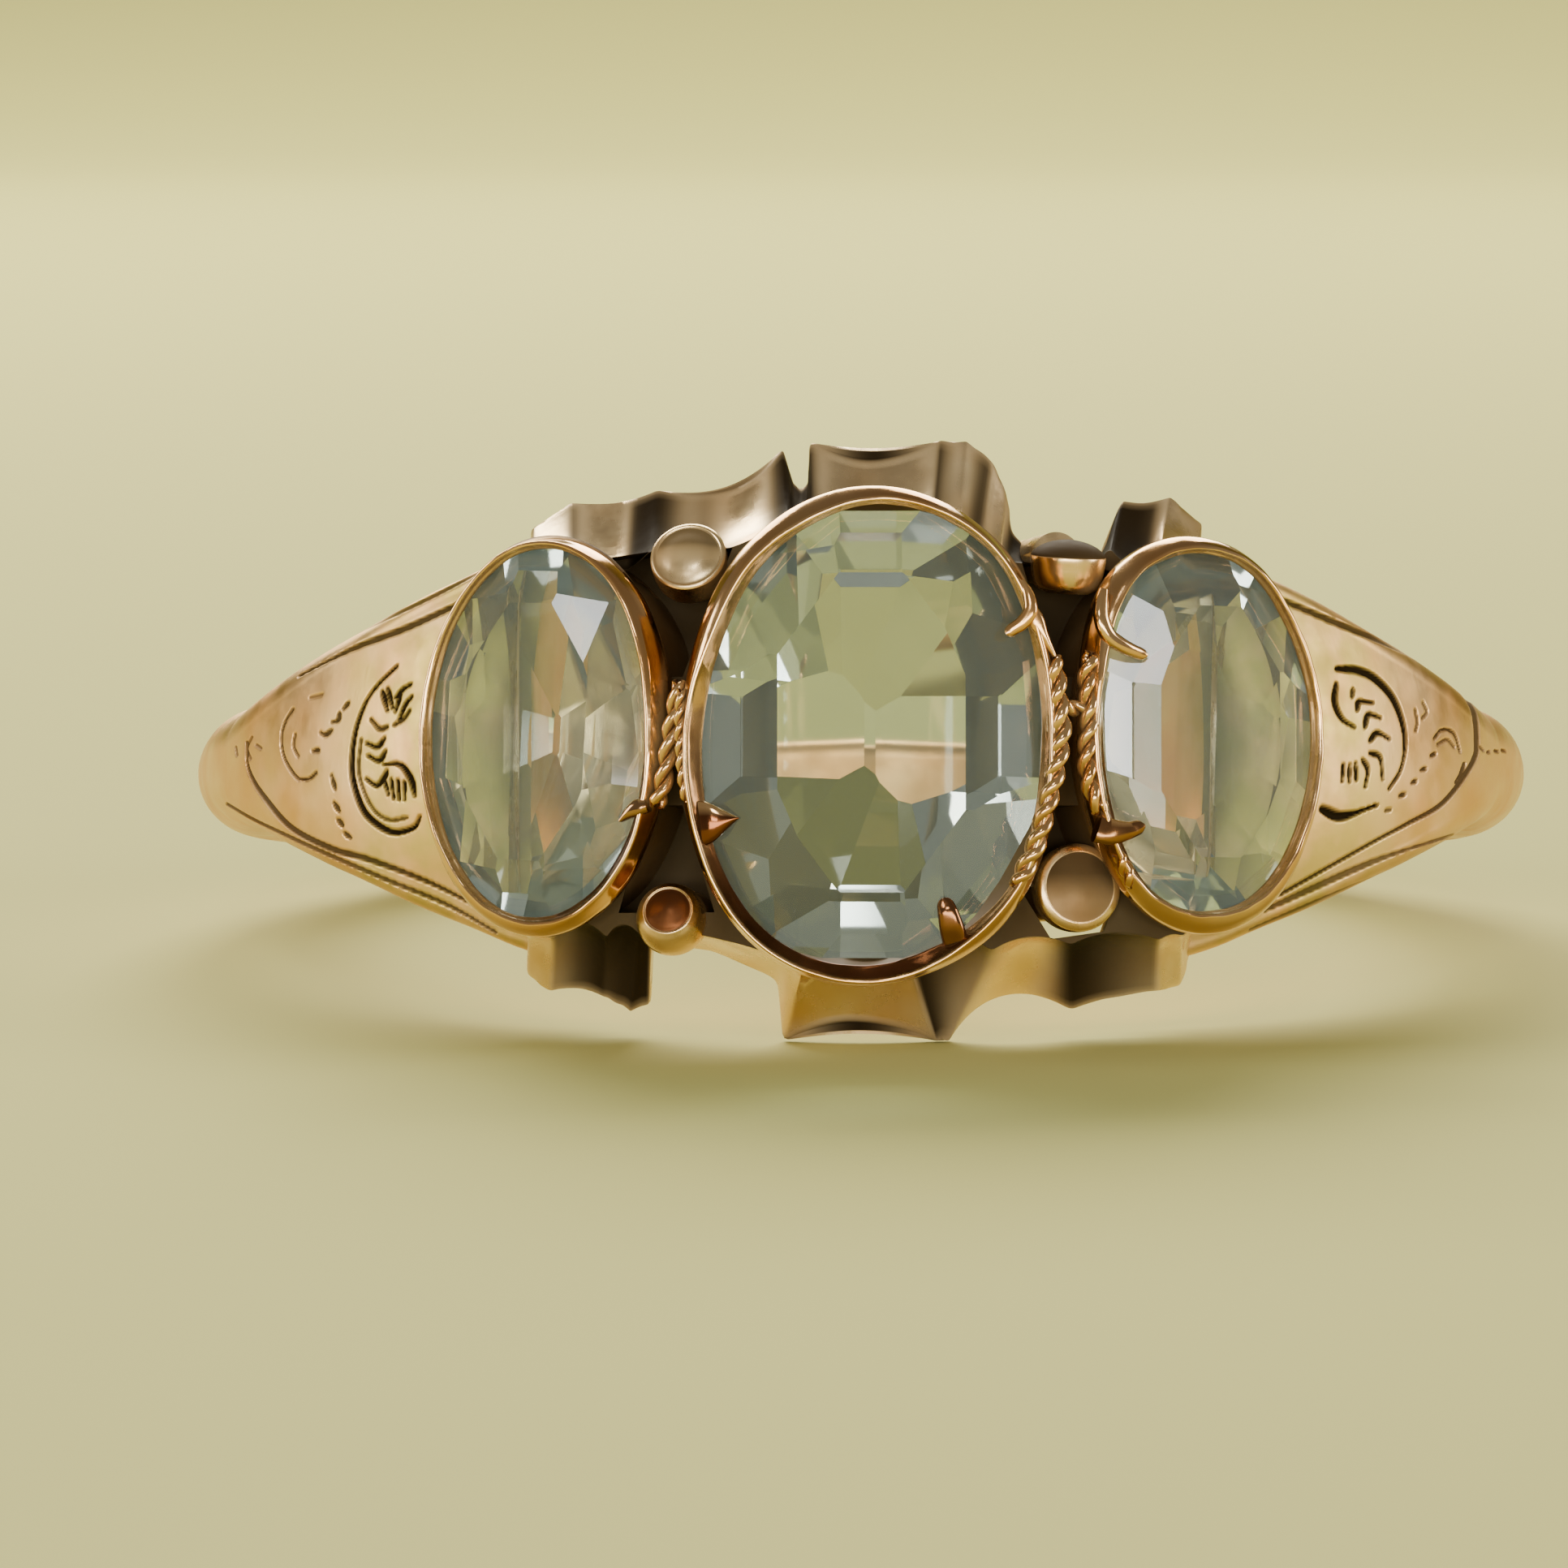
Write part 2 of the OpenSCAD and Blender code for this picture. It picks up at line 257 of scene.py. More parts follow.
# Engraving: lines cut with a graver along the shoulders' borders, and the scrolls between them.
# Each row: depth, half width at its start and end, places across and along the finger hole.
right_cuts = [
    (0.05, (0.075, 0.03), [(5.9, 2.19), (7.1, 1.78), (8.2, 1.46), (8.62, 1.3), (9.0, 0.85),
        (9.08, 0.34), (9.0, -0.02), (8.5, -0.64), (7.9, -0.99), (7.3, -1.31), (5.9, -2.09)]),
    (0.04, (0.035, 0.025), [(5.3, 2.78), (6.0, 2.42), (6.95, 2.12), (7.65, 1.88), (8.4, 1.62)]),
    (0.04, (0.03, 0.02), [(5.4, 2.88), (6.1, 2.52), (7.65, 2.0), (8.1, 1.84)]),
    (0.04, (0.06, 0.02), [(5.7, -2.3), (6.98, -1.72), (7.68, -1.44), (8.7, -1.1)]),
    (0.04, (0.05, 0.02), [(5.5, -2.58), (7.2, -1.87), (8.3, -1.45)]),
    (0.035, (0.02, 0.015), [(8.4, 1.6), (9.2, 1.28), (9.7, 0.8)]),
    (0.07, (0.085, 0.02), [(6.8, 1.2), (7.1, 1.2), (7.38, 1.1), (7.66, 0.84), (7.82, 0.48),
        (7.86, 0.12), (7.78, -0.23), (7.6, -0.5)]),
    (0.06, (0.06, 0.03), [(6.78, 0.98), (6.75, 0.72), (6.86, 0.48), (7.06, 0.36)]),
    (0.05, (0.04, 0.03), [(7.04, 0.92), (7.02, 0.8)]),
    (0.06, (0.055, 0.02), [(7.1, 0.62), (7.14, 0.74), (7.36, 0.74)]),
    (0.06, (0.055, 0.02), [(7.22, 0.38), (7.28, 0.56), (7.48, 0.52)]),
    (0.06, (0.055, 0.02), [(7.3, 0.18), (7.42, 0.3), (7.62, 0.22)]),
    (0.06, (0.05, 0.02), [(7.3, 0.0), (7.46, -0.06), (7.5, -0.38)]),
    (0.06, (0.05, 0.02), [(7.18, -0.1), (7.26, -0.24), (7.22, -0.5)]),
    (0.06, (0.035, 0.03), [(6.88, -0.18), (6.86, -0.42)]),
    (0.06, (0.035, 0.03), [(6.98, -0.18), (6.97, -0.44)]),
    (0.06, (0.035, 0.03), [(7.07, -0.16), (7.08, -0.4)]),
    (0.09, (0.11, 0.015), [(6.56, -0.84), (6.8, -0.93), (7.05, -0.88), (7.42, -0.74)]),
    (0.04, (0.03, 0.02), [(8.03, 0.68), (8.06, 0.5), (8.03, 0.36)]),
    (0.04, (0.03, 0.02), [(8.16, 0.8), (8.22, 0.66), (8.14, 0.56)]),
    (0.05, (0.02, 0.035), [(8.34, 0.28), (8.48, 0.42), (8.68, 0.38), (8.78, 0.12)]),
    (0.04, (0.02, 0.02), [(8.4, 0.2), (8.56, 0.28), (8.68, 0.18)]),
    (0.05, (0.05, 0.025), [(8.86, -0.04), (8.8, -0.2), (8.7, -0.34)]),
    (0.05, (0.04, 0.03), [(8.36, 0.06), (8.28, 0.02)]),
    (0.05, (0.04, 0.03), [(8.2, -0.17), (8.12, -0.2)]),
    (0.05, (0.04, 0.03), [(8.04, -0.36), (7.96, -0.4)]),
    (0.05, (0.04, 0.03), [(7.86, -0.56), (7.76, -0.6)]),
    (0.04, (0.03, 0.02), [(7.62, -0.8), (7.55, -0.82)]),
    (0.04, (0.025, 0.02), [(9.15, 0.22), (9.2, 0.18)]),
    (0.04, (0.025, 0.02), [(9.28, 0.16), (9.32, 0.18)]),
    (0.04, (0.02, 0.02), [(9.42, 0.2), (9.48, 0.2)]),
    (0.04, (0.02, 0.02), [(9.56, 0.23), (9.64, 0.22)]),
]
left_cuts = [
    (0.05, (0.065, 0.02), [(-5.75, 2.14), (-6.6, 1.8), (-7.35, 1.57), (-7.8, 1.4), (-8.3, 1.2)]),
    (0.04, (0.035, 0.03), [(-5.2, 2.8), (-5.75, 2.46), (-6.6, 2.08), (-7.6, 1.72), (-8.45, 1.36),
        (-9.25, 0.97)]),
    (0.035, (0.02, 0.02), [(-5.4, 2.82), (-6.1, 2.45), (-7.0, 2.08), (-8.0, 1.7)]),
    (0.05, (0.03, 0.06), [(-9.15, 0.3), (-9.14, 0.0), (-9.05, -0.25), (-8.84, -0.55), (-8.4, -1.02),
        (-7.75, -1.36), (-7.2, -1.53), (-6.3, -1.88), (-5.5, -2.28)]),
    (0.045, (0.02, 0.045), [(-9.53, -0.57), (-9.1, -0.82), (-8.6, -1.07), (-7.95, -1.38), (-7.0, -1.8),
        (-6.0, -2.22), (-5.3, -2.62)]),
    (0.04, (0.02, 0.035), [(-7.3, -2.02), (-6.3, -2.4), (-5.3, -2.86)]),
    (0.035, (0.02, 0.03), [(-6.9, -2.08), (-6.0, -2.42), (-5.2, -2.78)]),
    (0.07, (0.02, 0.07), [(-6.76, 1.24), (-7.05, 0.98), (-7.24, 0.72), (-7.38, 0.35), (-7.44, -0.05),
        (-7.42, -0.4), (-7.28, -0.8), (-7.08, -1.02), (-6.8, -1.16), (-6.5, -1.1), (-6.4, -0.94)]),
    (0.04, (0.015, 0.03), [(-7.3, 0.2), (-7.33, -0.3), (-7.14, -0.78), (-6.88, -0.98), (-6.6, -0.96)]),
    (0.06, (0.05, 0.03), [(-6.98, 0.88), (-6.9, 0.6)]),
    (0.06, (0.045, 0.03), [(-6.9, 0.92), (-6.82, 0.62)]),
    (0.06, (0.04, 0.03), [(-6.7, 0.82), (-6.78, 0.58)]),
    (0.06, (0.02, 0.045), [(-6.55, 0.96), (-6.66, 0.9), (-6.78, 0.78)]),
    (0.06, (0.02, 0.045), [(-6.53, 0.78), (-6.62, 0.68), (-6.72, 0.46)]),
    (0.05, (0.02, 0.04), [(-6.56, 0.58), (-6.66, 0.46), (-6.8, 0.38)]),
    (0.05, (0.02, 0.05), [(-7.15, 0.48), (-7.02, 0.34), (-6.9, 0.36)]),
    (0.06, (0.02, 0.055), [(-7.22, 0.14), (-7.05, 0.08), (-6.94, 0.2)]),
    (0.06, (0.02, 0.055), [(-7.2, -0.04), (-7.02, -0.12), (-6.92, 0.02)]),
    (0.06, (0.02, 0.06), [(-7.22, -0.38), (-7.06, -0.48), (-6.94, -0.36), (-6.9, -0.26)]),
    (0.06, (0.04, 0.02), [(-6.94, -0.42), (-6.88, -0.62)]),
    (0.06, (0.04, 0.02), [(-6.84, -0.4), (-6.8, -0.68)]),
    (0.06, (0.04, 0.02), [(-6.74, -0.42), (-6.72, -0.7)]),
    (0.06, (0.04, 0.02), [(-6.64, -0.44), (-6.64, -0.7)]),
    (0.07, (0.02, 0.07), [(-6.95, -0.18), (-6.7, -0.2), (-6.54, -0.42), (-6.48, -0.66)]),
    (0.05, (0.02, 0.03), [(-8.38, 0.72), (-8.52, 0.5), (-8.56, 0.26), (-8.5, -0.02), (-8.3, -0.3),
        (-8.12, -0.32), (-8.0, -0.24)]),
    (0.045, (0.03, 0.02), [(-8.34, 0.34), (-8.36, 0.16), (-8.28, 0.0)]),
    (0.05, (0.045, 0.02), [(-7.5, 0.74), (-7.58, 0.66)]),
    (0.05, (0.05, 0.02), [(-7.64, 0.6), (-7.66, 0.5), (-7.76, 0.48)]),
    (0.05, (0.05, 0.02), [(-7.76, 0.36), (-7.86, 0.3), (-7.94, 0.34)]),
    (0.05, (0.05, 0.02), [(-7.96, 0.08), (-8.06, 0.08)]),
    (0.05, (0.02, 0.05), [(-7.76, -0.3), (-7.7, -0.5)]),
    (0.05, (0.03, 0.05), [(-7.72, -0.7), (-7.64, -0.82)]),
    (0.05, (0.04, 0.04), [(-7.66, -0.94), (-7.58, -1.04)]),
    (0.05, (0.04, 0.03), [(-7.56, -1.14), (-7.46, -1.22)]),
    (0.035, (0.02, 0.02), [(-9.06, 0.36), (-9.14, 0.2), (-9.08, 0.04)]),
    (0.035, (0.02, 0.02), [(-8.98, 0.24), (-8.9, 0.18)]),
    (0.035, (0.02, 0.02), [(-9.34, 0.24), (-9.32, 0.12)]),
    (0.03, (0.015, 0.015), [(-8.1, 0.86), (-7.9, 0.9)]),
]


def tube_faces(rings, sides, base=0, closed_ends=True):
    """Four-cornered faces round a row of rings of points, and a face on each end."""
    faces = []
    for i in range(rings - 1):
        for k in range(sides):
            a = base + i * sides + k
            b = base + i * sides + (k + 1) % sides
            faces.append((a, b, b + sides, a + sides))
    if closed_ends:
        faces.append(tuple(base + k for k in range(sides - 1, -1, -1)))
        faces.append(tuple(base + (rings - 1) * sides + k for k in range(sides)))
    return faces


# The gold nearest the collets has a yellow stain that fades out along the shoulder
stain_end = 8.2
stain_fade = 1.2


def add_shank(name, angles, count, strokes):
    """A closed stretch of the shank along some angles, with its lines cut into the metal."""
    inner = 7
    points, facing = [], []
    for angle in angles:
        z, r = shank_section(angle if angle <= math.pi else 2 * math.pi - angle, count)
        flatness = np.abs(np.gradient(z)) / np.hypot(np.gradient(z), np.gradient(r))
        facing.append(np.concatenate([np.clip((flatness - 0.4) / 0.3, 0, 1), np.zeros(inner)]))
        under = np.linspace(z[-1], z[0], inner + 2)[1:-1]
        z = np.concatenate([z, under])
        r = np.concatenate([r, np.full(inner, hole_r)])
        points.append(np.stack([r * math.sin(angle), -r * math.cos(angle), z], 1))
    points = np.array(points)
    ring = points.shape[1]
    flat = points.reshape(-1, 3)
    outside = (np.hypot(flat[:, 0], flat[:, 1]) > hole_r + 0.5) * np.concatenate(facing)
    depth, grime = cut_depth(flat[:, 0], flat[:, 2], strokes)
    depth, grime = depth * outside, grime * outside
    radius = np.hypot(flat[:, 0], flat[:, 1])
    flat[:, :2] *= ((radius - depth) / radius)[:, None]
    stain = np.clip((stain_end - np.abs(flat[:, 0])) / stain_fade, 0, 1) * outside
    marks = {"grime": grime, "stain": stain}
    add_piece(name, flat, tube_faces(len(angles), ring), shank_gold, "gold_mount", marks)


shank_gold = rose_gold("worn_rose_gold", 0.30, 0.14)
# The angles lie close together where the shoulder is engraved, and wide apart beyond it
plain_angle = math.radians(72)
engraved_turn = np.linspace(head_angle, plain_angle, 330)
plain_turn = np.linspace(plain_angle, back_angle, 34)
back_turn = np.linspace(back_angle, 2 * math.pi - back_angle, 130)
shoulder_turn = np.concatenate([engraved_turn[:-1], plain_turn])
add_shank("shoulder_right", shoulder_turn, 240, right_cuts)
add_shank("shoulder_left", 2 * math.pi - shoulder_turn[::-1], 240, left_cuts)
add_shank("shank_back", back_turn, 64, [])

# Band under the stones: a plain strip of the same gold, with one oval hole sawn behind each stone
# so that light reaches it. The collets and the gallery are soldered on its outside.
band_t = 0.8
band_w = 4.6
band_angle = math.radians(29)
# Stones' places: angle round the finger in degrees, height above the hole, place along it, lean,
# half width and half length, and the height of the crown and depth of the underside
stone_rows = {
    "centre": dict(angle=0.1, height=2.8, along=0.03, lean=0,
                   half_w=2.49, half_l=3.34, crown=0.72, depth=1.75),
    "left": dict(angle=-23.6, height=2.55, along=0.12, lean=-3,
                 half_w=1.79, half_l=2.72, crown=0.55, depth=1.25),
    "right": dict(angle=24.2, height=2.55, along=0.12, lean=0,
                  half_w=1.80, half_l=2.66, crown=0.55, depth=1.25),
}
hole_share = 0.64


def at_stone(row, lift=0.0):
    """Turns a place drawn round a stone's own upright axis into the ring's frame."""
    outward = Matrix.Rotation(math.radians(row["angle"]), 4, "Z") @ Matrix.Rotation(math.pi / 2, 4, "X")
    stand = Matrix.Translation((0, row["along"], hole_r + row["height"] + lift))
    return outward @ stand @ Matrix.Rotation(math.radians(row["lean"]), 4, "Z")


def add_solid(name, mesh_builder, material, stands_for, cutters=(), sharp=35):
    """A mesh from a builder, with other meshes cut out of it, shaded smooth up to an angle."""
    mesh = bpy.data.meshes.new(name)
    mesh_builder.to_mesh(mesh)
    piece = bpy.data.objects.new(name, mesh)
    bpy.context.scene.collection.objects.link(piece)
    for k, cutter in enumerate(cutters):
        tool_mesh = bpy.data.meshes.new(f"{name}_cutter_{k}")
        cutter.to_mesh(tool_mesh)
        tool = bpy.data.objects.new(tool_mesh.name, tool_mesh)
        bpy.context.scene.collection.objects.link(tool)
        cut = piece.modifiers.new("cut", "BOOLEAN")
        cut.object = tool
        cut.solver = "EXACT"
        bpy.context.view_layer.update()
        done = bpy.data.meshes.new_from_object(piece.evaluated_get(bpy.context.evaluated_depsgraph_get()))
        piece.modifiers.clear()
        piece.data = done
        bpy.data.objects.remove(tool)
    piece.data.transform(ring_place)
    piece.data.shade_smooth()
    piece.data.set_sharp_from_angle(angle=math.radians(sharp))
    piece.data.materials.clear()
    piece.data.materials.append(material)
    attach(piece, "root")
    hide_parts(stands_for)


def oval_post(row, share, low, high, steps=72):
    """An upright oval post at a stone's place, between two heights."""
    post = bmesh.new()
    place = at_stone(row)
    rings = []
    for height in (low, high):
        ring = []
        for k in range(steps):
            t = 2 * math.pi * k / steps
            across_it = share * row["half_w"] * math.cos(t)
            along_it = share * row["half_l"] * math.sin(t)
            ring.append(post.verts.new(place @ Vector((across_it, along_it, height))))
        rings.append(ring)
    for k in range(steps):
        post.faces.new((rings[0][k], rings[0][(k + 1) % steps], rings[1][(k + 1) % steps], rings[1][k]))
    post.faces.new(rings[0][::-1])
    post.faces.new(rings[1])
    return post


band = bmesh.new()
band_steps = 60
stations = []
for k in range(band_steps + 1):
    angle = -band_angle + 2 * band_angle * k / band_steps
    section = [(hole_r, -band_w / 2), (hole_r + band_t, -band_w / 2),
               (hole_r + band_t, band_w / 2), (hole_r, band_w / 2)]
    stations.append([band.verts.new((r * math.sin(angle), -r * math.cos(angle), z)) for r, z in section])
for one, two in zip(stations, stations[1:]):
    for k in range(4):
        band.faces.new((one[k], two[k], two[(k + 1) % 4], one[(k + 1) % 4]))
band.faces.new(stations[0])
band.faces.new(stations[-1][::-1])
bmesh.ops.recalc_face_normals(band, faces=band.faces)
band_gold = rose_gold("tarnished_rose_gold", 0.34, 0.2)
add_solid("base_band", band, band_gold, "gold_mount",
          [oval_post(row, hole_share, -4.2, 0) for row in stone_rows.values()])

# Gallery: a cast skirt of scooped flutes round the head, with sharp ridges between them.
# It is soldered to the band, and its hollow edges lean in and up toward the stones.
gallery_low = 0.6
gallery_high = 2.1
pocket_floor = 1.1
# Corners seen from the front: where each stands at the underside and at the top, how hollow the edge
# to the next corner is at the underside and at the top, how far a thin rim stands out behind that
# edge with a painted shadow in the hollow before it, and how dark the flute is painted along it,
# as dirt and a dark reflection
gallery_rows = [
    ((-4.78, -2.3), (-4.75, -2.2), 0.0, 0.0, 0, (0.15, 0.15)),
    ((-4.80, 2.3), (-4.75, 2.2), 0.0, 0.0, 0, (0.15, 0.15)),
    ((-4.82, 3.18), (-4.74, 2.8), 0.04, 0.0, 0, (0.1, 0.2)),
    ((-4.24, 3.52), (-4.2, 2.72), 0.10, 0.34, 0, (0.9, 0.4, 0.0, 0.0, 0.1, 0.9, 1.0, 1.0)),
    ((-2.96, 3.66), (-3.04, 2.72), 0.27, 0.20, 0.07,
     (1.0, 0.8, 0.55, 0.7, 0.5, 0.05, 0.0, 0.2, 0.8, 1.0)),
    ((-1.20, 4.22), (-1.14, 3.18), 0.0, 0.0, 0, (1.0, 0.9)),
    ((-1.05, 3.72), (-1.04, 3.16), 0.08, 0.02, 0, (0.9, 0.9)),
    ((-0.84, 3.72), (-0.86, 3.14), 0.0, 0.0, 0, (0.9, 1.0)),
    ((-0.82, 4.30), (-0.78, 3.2), 0.10, 0.16, 0.15, (0.9, 0.1, 0.0, 0.0, 0.0, 0.1, 0.5)),
    ((1.03, 4.32), (0.92, 3.2), 0.01, 0.12, 0, (0.9, 0.6, 0.1)),
    ((1.42, 4.31), (1.3, 3.05), 0.0, 0.05, 0, (0.4, 0.8, 0.95)),
    ((1.80, 4.0), (1.62, 2.8), 0.0, 0.05, 0, (0.5, 0.1)),
    ((1.98, 3.55), (1.85, 2.6), 0.0, 0.04, 0, (0.3, 1.0)),
    ((2.05, 3.05), (1.97, 2.52), 0.0, 0.0, 0, (1.0, 1.0)),
    ((2.3, 2.70), (2.25, 2.48), 0.0, 0.0, 0, (1.0, 1.0)),
    ((3.30, 2.68), (3.3, 2.48), 0.0, 0.05, 0, (1.0, 1.0)),
    ((3.64, 3.52), (3.42, 2.72), 0.05, 0.24, 0, (1.0, 1.0, 0.9, 0.3)),
    ((4.34, 3.60), (4.12, 2.75), 0.0, 0.06, 0, (0.0, 0.4)),
    ((4.82, 3.22), (4.72, 2.62), 0.0, 0.0, 0, (0.15, 0.15)),
    ((4.72, 2.3), (4.7, 2.2), 0.0, 0.0, 0, (0.15, 0.15)),
    ((4.6, -2.3), (4.6, -2.2), 0.0, 0.0, 0, (0.15, 0.15)),
    ((4.62, -2.9), (4.6, -2.55), 0.0, 0.02, 0, (0.15, 0.15)),
    ((4.48, -3.38), (4.45, -2.72), 0.0, 0.05, 0, (0.15, 0.15)),
    ((4.12, -3.46), (4.1, -2.78), 0.05, 0.14, 0, (0.7, 1.0)),
    ((2.88, -3.74), (2.84, -2.86), 0.44, 0.16, 0, (1.0, 0.5, 0.0, 0.0, 0.3, 0.6)),
    ((1.16, -4.17), (1.72, -2.95), 0.0, 0.40, 0, (0.6, 0.8, 1.0)),
    ((0.97, -4.18), (0.62, -3.3), 0.10, 0.20, 0.16, (0.3, 0.0)),
    ((-1.20, -4.18), (-0.95, -3.3), 0.0, 0.04, 0, (0.15, 0.15)),
    ((-1.27, -3.31), (-1.3, -3.0), 0.0, 0.0, 0, (0.15, 0.15)),
    ((-2.2, -2.9), (-2.2, -2.75), 0.0, 0.0, 0, (0.15, 0.15)),
    ((-3.04, -2.8), (-3.04, -2.62), 0.0, 0.02, 0, (0.15, 0.15)),
    ((-3.08, -3.66), (-3.06, -2.68), 0.02, 0.02, 0, (1.0, 1.0)),
    ((-3.36, -3.76), (-3.22, -2.70), 0.03, 0.16, 0, (1.0, 0.9)),
    ((-3.76, -3.54), (-3.68, -2.75), 0.08, 0.22, 0, (1.0, 0.85, 0.6)),
    ((-4.52, -3.46), (-4.44, -2.75), 0.0, 0.03, 0, (0.15, 0.15)),
    ((-4.87, -3.2), (-4.82, -2.7), 0.0, 0.0, 0, (0.15, 0.15)),
]
# Pockets between the collets, painted dark as dirt and shade, and the one that is open right through to
# the finger
pockets = [
    [(2.6, -0.9), (3.05, -0.9), (3.5, -2.2), (2.4, -2.2), (2.3, -2.0), (2.18, -2.0)],
    [(2.6, 0.9), (2.15, 2.5), (3.5, 2.4), (3.05, 0.9)],
    [(-2.6, 0.9), (-3.05, 0.9), (-3.6, 2.6), (-2.6, 2.72), (-1.9, 2.7)],
    [(-2.6, -0.9), (-2.15, -2.4), (-3.5, -2.4), (-3.05, -0.9)],
]
open_pocket = [(3.45, -2.25), (3.3, -2.66), (2.55, -2.77), (2.12, -2.08), (2.3, -2.04)]
# Oval wells that take the collets, a little inside their walls
well_inset = 0.18
well_sides = 64
wells = []
for row in stone_rows.values():
    well = []
    for k in range(well_sides):
        t = 2 * math.pi * k / well_sides
        across_it = (row["half_w"] - well_inset) * math.cos(t)
        along_it = (row["half_l"] - well_inset) * math.sin(t)
        edge = at_stone(row) @ Vector((across_it, along_it, -0.8))
        well.append((edge[0], edge[2]))
    wells.append(well)


# How uneven the cast walls are
cast_lump = 0.022


def gallery_outline(level, per_edge=30):
    """The skirt's outline at one level, 0 at its underside and 1 at its top."""
    rise = max(0.0, (level - 0.12) / 0.88)
    ease = 1 - (1 - rise) ** 2.4
    hollow = float(np.interp(level, [0.085, 0.089, 0.091, 0.10], [0.0, 0.24, 0.32, 1.0]))
    shadow = float(np.interp(level, [0.089, 0.091, 0.12, 0.17], [0.0, 1.0, 1.0, 0.0]))
    corners = [np.array(low) + (np.array(high) - np.array(low)) * ease for low, high, *_ in gallery_rows]
    line, dark = [], []
    for k, (_, _, low_sag, high_sag, rim, tarnish) in enumerate(gallery_rows):
        p, q = corners[k], corners[(k + 1) % len(corners)]
        length = np.hypot(*(q - p))
        inward = np.array([(q - p)[1], -(q - p)[0]]) / length
        if inward @ (p + q) > 0:
            inward = -inward
        sag = low_sag + (high_sag - low_sag) * ease + rim * hollow
        steps = per_edge if max(low_sag, high_sag) > 0.05 else 10
        for i in range(steps):
            t = i / steps
            lump = cast_lump * math.sin(6 * t + 2.3 * k) * math.sin(7 * level + 1.7 * k)
            lump *= 0.1 < level < 0.99
            line.append(p + (q - p) * t + inward * (sag + lump) * math.sin(math.pi * t) ** 0.85)
            # How dark each place is painted: dirt and a dark reflection along the flute, and a painted
            # shadow in the hollow before a thin rim
            deep = float(np.interp(t, np.linspace(0, 1, len(tarnish)), tarnish))
            deep = deep * deep * (3 - 2 * deep) * min(1.0, max(0.0, (level - 0.05) / 0.1))
            dark.append(max(deep, shadow * min(1.0, rim * 12) * math.sin(math.pi * t) ** 0.4))
    return np.array(line), dark


def worn(line, rounds):
    """Rounds off a closed outline's corners a little, as wear does."""
    for _ in range(rounds):
        line = 0.5 * line + 0.25 * (np.roll(line, 1, 0) + np.roll(line, -1, 0))
    return line


def onto(line, height):
    """Lays a front outline on the round surface at a height above the hole."""
    r = hole_r + height
    return np.stack([line[:, 0], -np.sqrt(r * r - line[:, 0] ** 2), line[:, 1]], 1)


def filled(outline, holes):
    """Triangles that fill an outline round its holes, with places strewn inside to bend on."""
    places = [Vector(p) for p in outline]
    rims = [list(range(len(outline)))]
    for hole in holes:
        rims.append(list(range(len(places), len(places) + len(hole))))
        places += [Vector(p) for p in hole]
    edges = [(rim[k], rim[(k + 1) % len(rim)]) for rim in rims for k in range(len(rim))]
    loops = [np.array([tuple(places[i]) for i in rim]) for rim in rims]

    def within(point, loop):
        """Whether a place lies inside a closed outline."""
        x, z = point
        a, b = loop, np.roll(loop, -1, 0)
        crosses = (a[:, 1] > z) != (b[:, 1] > z)
        with np.errstate(divide="ignore", invalid="ignore"):
            at = a[:, 0] + (z - a[:, 1]) * (b[:, 0] - a[:, 0]) / (b[:, 1] - a[:, 1])
        return int(np.sum(crosses & (at > x))) % 2 == 1

    # A row of places just inside the rim keeps its shading from running inward
    for line in loops:
        ahead = np.roll(line, -1, 0) - np.roll(line, 1, 0)
        inward = np.stack([-ahead[:, 1], ahead[:, 0]], 1) / np.linalg.norm(ahead, axis=1)[:, None]
        for sign in (-0.06, 0.06):
            for point in line[::2] + sign * inward[::2]:
                if within(point, loops[0]) and not any(within(point, loop) for loop in loops[1:]):
                    places.append(Vector(point))
    for x in np.arange(-4.6, 4.7, 0.4):
        for z in np.arange(-3.4, 3.5, 0.4):
            if within((x, z), loops[0] * 0.96):
                places.append(Vector((x, z)))
    got = delaunay_2d_cdt(places, edges, [], 0, 1e-5)
    kept = []
    for face in got[2]:
        middle = sum((got[0][i] for i in face), Vector((0, 0))) / len(face)
        if within(middle, loops[0]) and not any(within(middle, loop) for loop in loops[1:]):
            kept.append(face)
    return np.array([tuple(p) for p in got[0]]), kept


levels = np.concatenate([[0.0, 0.02, 0.05, 0.08, 0.085, 0.089, 0.091, 0.10, 0.115, 0.14, 0.17],
                         np.linspace(0.2, 0.95, 20), [0.98, 1.0]])
outlines = [gallery_outline(s) for s in levels]
skirt = [worn(line, 2) for line, dark in outlines]
flute_dirt_and_shade = [d for line, dark in outlines[:-1] for d in worn(np.array(dark), 2)]
rim_inset = 0.996
skirt[0] = skirt[0] * rim_inset
skirt[-1] = skirt[-1] * rim_inset
points = []
for line, level in zip(skirt, levels):
    points.append(onto(line, gallery_low + (gallery_high - gallery_low) * level))
faces = tube_faces(len(levels), len(skirt[0]), closed_ends=False)
points = list(np.concatenate(points))
through = [open_pocket] + wells
plates = ((skirt[-1], gallery_high, pockets + through, 1), (skirt[0], gallery_low, through, -1))
for line, height, holes, up in plates:
    places, kept = filled(line, holes)
    base = len(points)
    points += list(onto(places, height))
    faces += [tuple(base + i for i in (face if up > 0 else face[::-1])) for face in kept]
for pocket in pockets + through:
    base = len(points)
    rim = np.array(pocket)
    floor_h = pocket_floor if pocket in pockets else gallery_low
    for height in (gallery_high, floor_h):
        points += list(onto(rim, height))
    n = len(rim)
    faces += [(base + k, base + (k + 1) % n, base + n + (k + 1) % n, base + n + k) for k in range(n)]
    if pocket in pockets:
        faces.append(tuple(range(base + n, base + 2 * n)))
